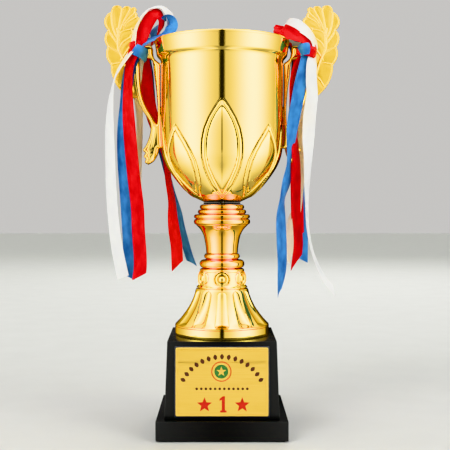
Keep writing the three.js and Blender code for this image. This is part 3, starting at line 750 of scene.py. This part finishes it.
# Outlines are (distance from the cup's axis, height), as in the CAD handle.
LEAF_ROOT = [(84, 352), (78.6, 340), (79.5, 311.6), (88, 311), (94.3, 316.9)]
LEAF_LOBES = [[(104.2, 334), (105.2, 343)], [(109.7, 354.9), (108.4, 360.2)],
              [(111.2, 367.7), (107.9, 375.9)], [(111.2, 386.3), (104.9, 393.2)],
              [(98.9, 399.4), (94.3, 396.2)], [(89.8, 398.7), (86, 396.4)], [(81, 395.6), (81.7, 392.8)],
              [(80, 390), (80.1, 388.5)], [(76.4, 385), (84.5, 376.8)], [(83.1, 373.4), (85.5, 369.6)],
              [(83.6, 366.5), (86.2, 361.5)]]
MIDRIB = [(84.3, 318), (87.8, 331), (93, 347.6), (97.5, 357), (98.3, 364.7), (97.7, 371.1), (99, 377)]
VEINS = [[(97.5, 366), (101.8, 373.8), (104, 382), (104.9, 393.2)], [(98.2, 372), (97, 382), (94.3, 396.2)],
         [(96.1, 376.2), (92.4, 385), (86, 396.4)], [(95.5, 376.2), (90.1, 384.4), (81.7, 392.8)],
         [(94.3, 376.2), (89.2, 382.8), (80.1, 388.5)], [(97.4, 371.1), (93.6, 374.7), (84.5, 376.8)],
         [(96.7, 359.2), (93.6, 364.2), (85.5, 369.6)], [(95.4, 347.6), (93.2, 351.3), (86.2, 361.5)],
         [(97.9, 362), (102.5, 368), (107.9, 375.9)], [(96.6, 354), (101.5, 357), (108.4, 360.2)],
         [(92.5, 344), (97.5, 344.6), (105.2, 343)], [(88.3, 332), (92, 329.5), (97, 322)]]
FRAME_OUTER = [(63.8, 348.7), (65.2, 353.6), (65.4, 358), (68, 361), (77, 360.6), (82.4, 357), (84, 350),
               (83.9, 340), (83.2, 326), (80.8, 314), (76.2, 301.5), (69.8, 291.5), (67.6, 285),
               (68.4, 277), (70.4, 270.6), (73, 265.2)]
FAN_LOBES = [[(75, 262.2), (72.4, 259.4)], [(74.2, 256.6), (72.2, 253.9)], [(73, 250.6), (69.8, 248.3)]]
FRAME_RETURN = [(64.6, 251.6), (61, 257.3), (59.4, 263.4)]
FRAME_INNER = [264, 273, 284, 300, 318, 344]  # heights where the blade follows the cup's wall
HANDLE_OPENING = [(77.5, 348), (78, 340), (77.3, 326), (75.6, 313.5), (71.5, 302.6), (66.4, 294),
                  (62.6, 287.5), (61.2, 290), (61, 302), (62.3, 319), (64.2, 333.4), (65.6, 345), (68, 348)]
WALL_GAP = 0.5
HANDLE_THICKNESS = 9.0
LEAF_THICKNESS = 4.0


def chained(start, *runs):
    """A line from the start, smooth through each run in turn, with a corner where two runs meet."""
    line = [np.asarray(start, float).reshape(-1, 2)]
    for run in runs:
        smooth = catmull(np.vstack([line[-1][-1:], run]), 8)
        line.append(smooth[1:])
    return np.vstack(line)


def spaced(line, step):
    """The closed outline resampled at an even spacing."""
    line = np.vstack([line, line[:1]])
    along = np.concatenate([[0], np.cumsum(np.linalg.norm(np.diff(line, axis=0), axis=1))])
    wanted = np.linspace(0, along[-1], max(int(along[-1] / step), 8), endpoint=False)
    return np.column_stack([np.interp(wanted, along, line[:, axis]) for axis in (0, 1)])


def distance_to(points, line, closed=True):
    """Distance from each point to a polyline."""
    ends = np.roll(line, -1, 0) if closed else line[1:]
    starts = line if closed else line[:-1]
    along = ends - starts
    offset = points[:, None, :] - starts[None]
    share = np.clip((offset * along).sum(-1) / np.maximum((along ** 2).sum(-1), 1e-9), 0, 1)
    return np.sqrt(((offset - share[..., None] * along) ** 2).sum(-1).min(1))


def inside(points, line):
    """Whether each point is inside a closed outline."""
    following = np.roll(line, -1, 0)
    x, y = points[:, :1], points[:, 1:]
    run = following[:, 0] - line[:, 0]
    crosses = (line[:, 1] > y) != (following[:, 1] > y)
    rise = np.where(following[:, 1] == line[:, 1], 1e-9, following[:, 1] - line[:, 1])
    return (crosses & (x < run * (y - line[:, 1]) / rise + line[:, 0])).sum(1) % 2 == 1


def relief_plate(outlines, spacing, thickness):
    """A closed plate in the XZ plane. The first outline is its edge and the others are holes.
    thickness(points, distance to the edge) gives half its thickness at each point."""
    edges = [spaced(outline, spacing) for outline in outlines]
    rim = np.vstack(edges)
    low, high = edges[0].min(0), edges[0].max(0)
    columns, rows = np.arange(low[0], high[0], spacing), np.arange(low[1], high[1], spacing)
    field = np.stack(np.meshgrid(columns, rows), -1)
    field[1::2, :, 0] += spacing / 2
    field = field.reshape(-1, 2)
    field = field[inside(field, edges[0])]
    for hole in edges[1:]:
        field = field[~inside(field, hole)]
    near = np.min([distance_to(field, edge) for edge in edges], 0)
    field = field[near > 0.55 * spacing]
    points = np.vstack([rim, field])
    links, offset = [], 0
    for edge in edges:
        links += [(offset + i, offset + (i + 1) % len(edge)) for i in range(len(edge))]
        offset += len(edge)
    found = geometry.delaunay_2d_cdt([Vector(point) for point in points], links, [], 0, 1e-6)
    flat = np.array([tuple(point) for point in found[0]])
    faces = np.array([face for face in found[2] if len(face) == 3])
    middles = flat[faces].mean(1)
    keep = inside(middles, edges[0])
    for hole in edges[1:]:
        keep &= ~inside(middles, hole)
    faces = faces[keep]
    depth = np.min([distance_to(flat, edge) for edge in edges], 0)
    on_edge = depth < 1e-4
    half = np.where(on_edge, 0, thickness(flat, depth))
    back_index = np.arange(len(flat))
    back_index[~on_edge] = len(flat) + np.arange((~on_edge).sum())
    front = np.column_stack([flat[:, 0], -half, flat[:, 1]])
    back = np.column_stack([flat[:, 0], half, flat[:, 1]])[~on_edge]
    return np.vstack([front, back]), faces.tolist() + back_index[faces][:, ::-1].tolist()


def bulge(depth, reach):
    """A quarter-round edge: 0 at the edge, 1 from the reach inwards."""
    return np.sqrt(np.clip(1 - (1 - np.clip(depth / reach, 0, 1)) ** 2, 0, 1))


def arc_through(start, crown, end, steps=12):
    """Points after the start on the circle through three points."""
    (ax, ay), (bx, by), (cx, cy) = start, crown, end
    d = 2 * (ax * (by - cy) + bx * (cy - ay) + cx * (ay - by))
    a, b, c = ax ** 2 + ay ** 2, bx ** 2 + by ** 2, cx ** 2 + cy ** 2
    centre_x = (a * (by - cy) + b * (cy - ay) + c * (ay - by)) / d
    centre_y = (a * (cx - bx) + b * (ax - cx) + c * (bx - ax)) / d
    centre = np.array([centre_x, centre_y])
    angles = [math.atan2(y - centre[1], x - centre[0]) for x, y in (start, crown, end)]
    turn = 2 * math.pi
    sweep, middle = (angles[2] - angles[0]) % turn, (angles[1] - angles[0]) % turn
    if middle > sweep:
        sweep -= turn
    along = angles[0] + sweep * np.arange(1, steps + 1) / steps
    return centre + math.dist(start, centre) * np.column_stack([np.cos(along), np.sin(along)])


def scalloped(root, lobes):
    """An outline with straight sides through its root and a round lobe for each (crown, notch)."""
    line = [np.array(root, float)]
    for crown, notch in lobes:
        line.append(arc_through(line[-1][-1], crown, notch))
    return np.vstack(line)


leaf_outline = scalloped(LEAF_ROOT, LEAF_LOBES)
vein_lines = [catmull(vein, 6) for vein in VEINS]
midrib_line = catmull(MIDRIB, 6)


def leaf_thickness(points, depth):
    veins = np.min([distance_to(points, vein, False) for vein in vein_lines], 0)
    midrib = distance_to(points, midrib_line, False)
    dish = 0.45 * np.clip(np.minimum(veins, midrib) / 3.5, 0, 1)
    border = 0.6 * np.exp(-((depth - 0.9) / 0.5) ** 2)
    ridges = np.maximum(0.75 * np.exp(-(veins / 0.42) ** 2), 1.0 * np.exp(-(midrib / 0.7) ** 2))
    return bulge(depth, 0.7) * (LEAF_THICKNESS / 2 - 0.9 + dish * 0.8 + border + ridges)


wall_radius = np.interp(FRAME_INNER, outer_wall[:, 1], outer_wall[:, 0])
wall_edge = np.column_stack([wall_radius + WALL_GAP, FRAME_INNER])
frame_outline = np.vstack([chained(wall_edge[-1:], FRAME_OUTER, *FAN_LOBES, FRAME_RETURN), wall_edge[:-1]])
opening_outline = catmull(HANDLE_OPENING, 4, closed=True)
outer_edge = chained(FRAME_OUTER[:1], FRAME_OUTER[1:])
BAND_TOP, BAND_BOTTOM = 299, 263
BAND_FLUTES = 2


def frame_thickness(points, depth):
    """Round in section, with lengthwise flutes on the S-shaped band and fanned grooves on its end."""
    outside = distance_to(points, outer_edge, False)
    across = outside / np.maximum(points[:, 0] - 57.5 + 0.001, outside)
    height = points[:, 1]
    on_band = (1 - rising(height, BAND_TOP - 5, BAND_TOP)) * rising(height, BAND_BOTTOM, BAND_BOTTOM + 4)
    ribs = 0.35 * np.abs(np.sin(math.pi * BAND_FLUTES * np.clip(across, 0, 1))) - 0.25
    fan_angle = np.arctan2(points[:, 1] - 262, points[:, 0] - 60)
    on_fan = 1 - rising(height, BAND_BOTTOM - 2, BAND_BOTTOM)
    fan = 0.15 * np.abs(np.sin(fan_angle * 7)) - 0.1
    return bulge(depth, 5.0) * (HANDLE_THICKNESS / 2 - 0.2 + on_band * ribs + on_fan * fan)


leaf_points, leaf_faces = relief_plate([leaf_outline], 0.55, leaf_thickness)
frame_points, frame_faces = relief_plate([frame_outline, opening_outline], 0.7, frame_thickness)
for side_name, side in SIDES.items():
    for part, material, slot, points, faces in (
            ("leaf", satin_gold, "satin_gold", leaf_points, leaf_faces),
            ("frame", polished_gold, "polished_gold", frame_points, frame_faces)):
        add_piece(f"handle_{part}_{side_name}", points * (side, 1, 1), faces, material, slot,
                  ["handle_" + side_name], 80)


# ---- ribbons ----

RIBBON_THICKNESS = 0.35
# Each ribbon: side, colour, how far its edges lead or trail at the slanted cuts of its two ends, the CAD runs
# that it stands for, and its route from the end of the front tail up through the knot, round the loop and
# down the rear tail. A point of a route is the distance from the axis, Y, height, and the turn of the face
# from the front in degrees.
RIBBONS = [
    ("left", "white", (-1, 4), ("loop_outer", "tail_front_1", "tail_rear_1"), [
        (92.6, -11, 142.5, -15), (97.9, -12, 168.6, -20), (101.3, -12, 194, -28), (103.5, -12, 223.5, -30),
        (104.7, -11, 253, -35), (105.2, -11, 281, -42), (104.5, -10, 306, -58), (101.3, -10, 326, -75),
        (96.5, -10, 338, -68), (89.5, -10, 348.5, -62), (84, -9, 357, -62), (83, -9, 365, -62),
        (81.5, -7, 375, -66), (77, -5, 386, -68), (69, -2, 395, -68), (59, 1, 398, -66),
        (51.5, 4, 393, -55), (48.8, 6, 386, -50), (50.5, 8, 379, -70), (58, 9, 373, -120),
        (68, 8.5, 368.5, -160), (76, 8, 360, -175), (80, 8.5, 350, -180), (82, 9, 335, -205),
        (79.5, 10, 303, -238), (79, 10, 281, -245), (80, 11, 250, -245), (81, 11, 215, -240),
        (80, 11, 178, -230)]),
    ("left", "blue", (3, -4), ("loop_inner", "tail_front_2", "tail_rear_3"), [
        (88, -8.5, 143, 10), (87, -8.5, 170.5, 5), (88.2, -8.5, 194, 0), (89.9, -8.5, 219, -5),
        (92.4, -8.5, 253, -10), (92.6, -8.5, 281, -15), (90.4, -8, 306, -20), (89, -7.5, 324, -20),
        (86, -7, 340, -20), (82, -7.5, 351, -25), (77.5, -9.5, 359, -40), (71, -10, 363.6, -55),
        (64, -10, 366.2, -60), (56.5, -9.5, 368.6, -58), (50, -8, 372.5, -35), (47.4, -4.5, 378.5, -12),
        (49, 0, 384.5, -30), (54.5, 4, 386.5, -75), (61, 7, 381, -110), (67, 9, 373, -140),
        (73, 10, 364, -170), (74, 13, 350, -180), (72, 16, 335, -185), (70, 19, 310, -200),
        (66, 22, 290, -222), (61.5, 28, 270, -240), (58, 30, 257.6, -244), (53, 33, 238, -244),
        (49.1, 36, 221.6, -240), (43.5, 37, 203.6, -236), (40.4, 36, 189, -234), (36.6, 34, 175, -234),
        (33.2, 33, 163, -234), (29.7, 32, 153, -234)]),
    ("left", "red", (-4, 5), ("loop_middle", "tail_front_3", "tail_rear_2"), [
        (77.2, -15, 143.5, 5), (76.2, -15, 153, 0), (76.4, -15, 166, 0), (77.8, -15, 185, 5),
        (78.9, -15, 209, 0), (81.8, -15, 233, -5), (84.3, -15, 257.6, -5), (86.3, -14.5, 281, -10),
        (87.8, -14, 306, -30), (87.6, -13.5, 326, -42), (86.4, -12.5, 340, -42), (83.5, -11, 351, -28),
        (79.5, -9.5, 359, -10), (76, -8.5, 367, -5), (72.6, -8, 375.5, 0), (68.6, -7, 384, 5),
        (64.4, -5.5, 390, -10), (60, -2.5, 391, -35), (57.4, 1.5, 386, -60), (58.4, 5, 379, -75),
        (63, 8, 372.5, -120), (70, 8.5, 368, -160), (76, 9, 360, -175), (76, 11, 350, -180),
        (73, 12, 335, -180), (71.8, 13, 319, -185), (69.5, 15, 306, -190), (66.6, 18, 293.6, -200),
        (61.9, 22, 280, -216), (57.6, 25, 267, -236), (54.3, 26, 253, -242), (51.9, 24, 233, -242),
        (48.6, 21, 214, -236), (47.7, 19, 199, -222), (46.2, 17, 185, -208), (43.9, 16, 170.5, -205),
        (42.9, 15, 151.5, -205)]),
    ("right", "white", (4, 5), ("loop_outer", "tail_front_1", "tail_rear_1"), [
        (104.7, -11, 130, -58), (96.2, -11, 140.5, -64), (89.7, -11, 153, -70), (84.2, -11, 168.6, -74),
        (80.5, -11, 188.5, -74), (79.5, -11, 209, -70), (79.5, -11, 230, -60), (80.5, -11, 256, -42),
        (80.8, -11, 272, -20), (82, -11, 293.6, -5), (84.3, -11, 312.6, -20), (83.8, -11, 326, -25),
        (84, -10.5, 341, -30), (85.6, -8, 352, -50), (87.6, -6.2, 360, -58), (84.8, -5.6, 368, -50),
        (77.5, -5.5, 375.6, -30), (69, -3.5, 381, -15), (61.5, 0.5, 381.5, -35), (58.5, 6.5, 377.5, -110),
        (65, 10.5, 371, -150), (74, 9.5, 363, -170), (77, 9.5, 350, -180), (77, 10, 320, -200),
        (76, 11, 290, -230), (75.5, 11, 250, -230), (72, 12, 209, -225), (67.2, 13, 193, -225),
        (65, 13, 173, -225), (61.8, 13, 159, -225)]),
    ("right", "red", (8, -4), ("loop_middle", "tail_front_2", "tail_rear_3"), [
        (69.8, -8, 156, -38), (71.5, -8, 173, -40), (71, -8, 188.5, -42), (69.6, -8, 204.6, -42),
        (69.8, -8, 224.5, -42), (69.8, -8.5, 245, -44), (68.6, -9, 266, -52), (67, -9, 286, -60),
        (66.3, -9, 305, -58), (67, -9, 324, -50), (70.5, -8.5, 338, -40), (76, -8.5, 347.5, -30),
        (81, -9.5, 353, -25), (84, -10.8, 356.5, -38), (83.6, -11.5, 360.2, -50), (79, -11.5, 363.4, -50),
        (72, -10.5, 367.6, -30), (64.5, -9.5, 371.6, -5), (57.6, -7, 374.8, 0), (54.2, -1.5, 376, -80),
        (57, 5, 375.5, -140), (62, 8.5, 370.5, -150), (70, 9, 365, -165), (74, 12, 352, -180),
        (74, 14, 330, -180), (73, 15, 290, -180), (72, 15, 240, -180), (72.5, 15, 205, -180),
        (73, 15, 180, -180)]),
    ("right", "blue", (4, 3), ("loop_inner", "tail_front_3", "tail_rear_2"), [
        (54, -12.5, 128, -74), (55.6, -12.5, 143, -52), (56.3, -12.5, 158, -42), (55.6, -12.5, 179, -36),
        (55.1, -12.5, 199, -42), (56.4, -12.5, 216, -64), (60.2, -13, 232, -48), (62.3, -13.5, 248, -68),
        (63.7, -14, 262, -54), (65.4, -14, 281, -28), (67.5, -14, 293.6, -14), (70, -14, 306, -14),
        (72.2, -13.5, 319, -15), (75, -13, 331.5, -20), (77.5, -12, 341, -20), (80, -10.5, 351, -15),
        (80, -9, 361, -25), (76, -4.5, 366, -40), (69.5, -3, 368, -50), (63, 0, 369, -80),
        (61, 4.5, 368, -110), (64, 8, 366, -150), (69.5, 11, 362, -165), (73, 16, 352, -180),
        (72, 18, 330, -180), (71, 19, 300, -180), (72, 19, 270, -180), (74.6, 18, 247, -180),
        (74.6, 18, 215, -180), (76.9, 17, 188.5, -180), (76.8, 17, 157.5, -180)])]
STRIP_COLUMNS = 7
SLANT_REACH = 40.0  # a slanted cut dies out over this length
FRONT_FACING = np.array([0.0, -1.0, 0.0])


def unit(vectors):
    return vectors / np.maximum(np.linalg.norm(vectors, axis=-1, keepdims=True), 1e-9)


def strip(line, turn, width, curl, slants):
    """Points, faces, UVs and length of a closed thin strip. turn is the angle of its face, in radians."""
    along = unit(np.gradient(line, axis=0))
    flat = unit(along[:, [0, 2]])
    sideways = np.column_stack([-flat[:, 1], np.zeros(len(line)), flat[:, 0]])
    normal = np.cos(turn)[:, None] * FRONT_FACING + np.sin(turn)[:, None] * sideways
    normal = unit(normal - (normal * along).sum(1, keepdims=True) * along)
    across = np.cross(along, normal)
    return strip_mesh(line, across, normal, width, curl, slants)


def strip_mesh(line, across, normal, width, curl, slants=()):
    share = np.linspace(-1, 1, STRIP_COLUMNS)
    bow = curl[:, None] * (1 - share ** 2)
    layers = []
    for columns, lift in ((share, RIBBON_THICKNESS / 2), (share[::-1], -RIBBON_THICKNESS / 2)):
        rise = bow if lift > 0 else bow[:, ::-1]
        edge = 1 - 0.6 * np.abs(columns) ** 8
        layers.append(line[:, None] + across[:, None] * (columns * width / 2)[None, :, None]
                      + normal[:, None] * (rise + lift * edge)[..., None])
    points = np.concatenate(layers, 1)
    rows, columns = points.shape[:2]
    length = np.concatenate([[0], np.cumsum(np.linalg.norm(np.diff(line, axis=0), axis=1))])
    if slants:
        sideways = np.concatenate([share, share[::-1]])
        along = unit(np.gradient(line, axis=0))
        for slant, from_end in zip(slants, (length, length[-1] - length)):
            fade = np.clip(1 - from_end / SLANT_REACH, 0, 1)
            points += along[:, None] * (fade[:, None] * sideways * slant)[..., None]
    u = np.concatenate([share, share[::-1]]) * width / 2 + width / 2
    uvs = np.stack(np.broadcast_arrays(u[None, :], length[:, None]), -1) * MM
    faces = grid_faces(rows, columns, False, True)
    faces.append(list(range(columns))[::-1])
    faces.append(list(range((rows - 1) * columns, rows * columns)))
    return points.reshape(-1, 3), faces, uvs.reshape(-1, 2), length[-1]


def with_uvs(piece, uvs):
    """Gives a piece UVs from one pair of metres per vertex."""
    mesh = piece.data
    corners = np.zeros(len(mesh.loops), int)
    mesh.loops.foreach_get("vertex_index", corners)
    layer = mesh.uv_layers.new(name="UVMap")
    layer.data.foreach_set("uv", np.asarray(uvs)[corners].astype(np.float32).ravel())


def add_ribbon(name, side_name, colour, made_strip, nodes):
    points, faces, uvs, length = made_strip
    mirrored = points * (SIDES[side_name], 1, 1)
    piece = add_piece(name, mirrored, faces, satins[colour], "satin_" + colour, nodes, 60)
    with_uvs(piece, uvs)


for index, (side_name, colour, slants, runs, route) in enumerate(RIBBONS):
    dense = catmull(route, 10)
    phase = np.linspace(0, 9 + index, len(dense))
    curl = 0.9 * np.sin(phase + index)
    made_strip = strip(dense[:, :3], np.radians(dense[:, 3]), RIBBON_WIDTH, curl, slants)
    add_ribbon(f"ribbon_{side_name}_{colour}", side_name, colour, made_strip,
               [f"ribbon_{side_name}_{run}" for run in runs])

# Wraps of the knots: side, colour, centre (distance, height), half length, half depth, tilt in degrees, width
WRAPS = [("left", "blue", (77.6, 354.0), 6.8, 14.6, 24, 11.0),
         ("left", "red", (80.2, 358.8), 6.6, 12.6, -12, 10.0),
         ("right", "blue", (77.6, 355.8), 5.6, 16.0, 8, 11.0),
         ("right", "red", (79.8, 354.4), 8.8, 14.0, -14, 10.0)]
WRAP_STEPS = 60
around = np.linspace(0, 2 * math.pi, WRAP_STEPS) + math.pi
circle = np.stack([np.sin(around), np.cos(around)])
squared = np.abs(circle) ** 0.75 * np.sign(circle)
for side_name, colour, (distance, height), half_length, half_depth, tilt_angle, width in WRAPS:
    c, s = math.cos(math.radians(tilt_angle)), math.sin(math.radians(tilt_angle))
    run = np.array([c, 0, s]) * half_length
    rise = np.array([-s, 0, c])
    depth = FRONT_FACING * half_depth
    line = (np.array([distance, 0, height]) + squared[0][:, None] * run + squared[1][:, None] * depth
            + np.linspace(-0.8, 0.8, WRAP_STEPS)[:, None] * rise)
    outward = unit(circle[0][:, None] * run / half_length * half_depth
                   + circle[1][:, None] * FRONT_FACING * half_length)
    across = np.broadcast_to(rise, line.shape)
    made_strip = strip_mesh(line, across, outward, width, 1.0 + 0.4 * np.sin(3 * around))
    add_ribbon(f"ribbon_wrap_{side_name}_{colour}", side_name, colour, made_strip,
               [f"ribbon_knot_{side_name}"])


# ---- remaining CAD nodes ----

slots = {part["node"]: part["material_slot"] for part in frame["record"]["subparts"]}
for node, cad in frame["nodes"].items():
    if not cad.hide_render:
        cad.data.materials.clear()
        cad.data.materials.append(FINISHES[slots[node]])


# ---- stage ----

FLOOR_HALF = 6.0
floor_mesh = bpy.data.meshes.new("floor")
corners = [(x * FLOOR_HALF, y * FLOOR_HALF, 0) for x, y in ((-1, -1), (1, -1), (1, 1), (-1, 1))]
floor_mesh.from_pydata(corners, [], [(0, 1, 2, 3)])
floor = bpy.data.objects.new("floor", floor_mesh)
scene.collection.objects.link(floor)
floor.visible_glossy = False
floor_paint = moulding("floor_paint", (0.63, 0.625, 0.62), (0.61, 0.605, 0.60), (0.7, 0.8), 60.0, 0.0001)
floor_mesh.materials.append(floor_paint)


def area_light(name, location, size, power):
    data = bpy.data.lights.new(name, "AREA")
    data.shape = "RECTANGLE"
    data.size, data.size_y = size
    data.energy = power
    light = bpy.data.objects.new(name, data)
    light.location = location
    light.rotation_euler = (LIGHTS_AIM - Vector(location)).to_track_quat("-Z", "Y").to_euler()
    light.visible_camera = False
    light.visible_glossy = False
    scene.collection.objects.link(light)


LIGHTS_AIM = Vector((0, 0, 0.2))
area_light("key", (-1.3, -1.7, 1.9), (1.2, 1.2), 34.0)
area_light("fill", (1.6, -1.2, 1.3), (1.2, 1.2), 18.0)
area_light("back", (0.4, 2.0, 1.6), (1.6, 1.0), 22.0)

# A studio of broad soft panels seen in the gilding, with a narrow dark gap between them in front and a dark
# corner behind on the right. The camera and the soft materials see an even pale grey instead.
PANEL_ANGLE = math.radians(60)
PANEL_SPREAD = math.radians(26)
PANEL_POWER = 8.0
PANEL_TINTS = ((0, (1.0, 0.985, 0.965)), (1, (0.96, 1.06, 0.9)))
WALLS = 0.85
CEILING = 2.0
GROUND = -0.45
REAR = -0.7
DARKEST = 0.03
GAP_ANGLE = math.radians(4.6)
CORNER_START, CORNER_FULL = math.radians(128), math.radians(138)
AMBIENT = 0.50
BACKDROP = 0.60
world = bpy.data.worlds.new("studio")
scene.world = world
world.use_nodes = True
sky = Nodes(world.node_tree)


def eased(value, start, end, low, high):
    return sky.between(value, low, high, start, end, "SMOOTHSTEP")


def chain(operation, first, *others):
    for other in others:
        first = sky.math(operation, first, other)
    return first


direction = sky.add("SeparateXYZ")
sky.join(sky.add("TexCoord").outputs["Generated"], direction.inputs["Vector"])
across, depth, up = (direction.outputs[axis] for axis in "XYZ")
off_front = sky.math("ARCTAN2", sky.math("ABSOLUTE", across), sky.math("MULTIPLY", depth, -1.0))
off_panel = sky.math("DIVIDE", sky.math("SUBTRACT", off_front, PANEL_ANGLE), PANEL_SPREAD)
panel = sky.math("EXPONENT", chain("MULTIPLY", off_panel, off_panel, -1.0))
panel = sky.math("MULTIPLY", panel, eased(up, -0.9, -0.1, 0.3, 1.0))
ceiling = eased(up, 0.45, 0.95, 0.0, CEILING)
ground = eased(up, -0.95, -0.45, GROUND, 0.0)
rear = eased(off_front, math.radians(142), math.radians(166), 0.0, REAR)
glow = chain("ADD", sky.math("MULTIPLY", panel, PANEL_POWER), ceiling, ground, rear, WALLS)
glow = sky.math("MAXIMUM", glow, DARKEST)
gap = chain("MULTIPLY", eased(off_front, GAP_ANGLE * 0.6, GAP_ANGLE * 1.6, 0.98, 0.0),
            eased(up, -0.98, -0.8, 0.0, 1.0))
corner = chain("MULTIPLY", eased(off_front, CORNER_START, CORNER_FULL, 0.0, 1.0),
               sky.math("GREATER_THAN", across, 0.0), eased(up, -0.4, -0.2, 0.0, 0.95),
               eased(up, 0.12, 0.3, 1.0, 0.0))
seen_in_gloss = chain("MULTIPLY", glow, sky.math("SUBTRACT", 1.0, gap), sky.math("SUBTRACT", 1.0, corner))
path = sky.add("LightPath")
glossy = path.outputs["Is Glossy Ray"]
plain = sky.math("ADD", sky.math("MULTIPLY", path.outputs["Is Camera Ray"], BACKDROP - AMBIENT), AMBIENT)
strength = sky.math("ADD", sky.math("MULTIPLY", seen_in_gloss, glossy),
                    sky.math("MULTIPLY", plain, sky.math("SUBTRACT", 1.0, glossy)))
background = sky.nodes["Background"]
sky.join(strength, background.inputs["Strength"])
sky.join(sky.ramp(panel, *PANEL_TINTS), background.inputs["Color"])

CAMERA_PLACE = (0.0, -0.885, 0.2103)
CAMERA_SHIFT = (1 / 150, -2 / 45)
camera_data = bpy.data.cameras.new("camera")
camera_data.sensor_width = 36.0
camera_data.lens = 74.7
camera_data.shift_x, camera_data.shift_y = CAMERA_SHIFT
camera = bpy.data.objects.new("camera", camera_data)
camera.location = CAMERA_PLACE
camera.rotation_euler = (math.radians(90), 0, 0)
scene.collection.objects.link(camera)
scene.camera = camera
scene.view_settings.view_transform = "Khronos PBR Neutral"
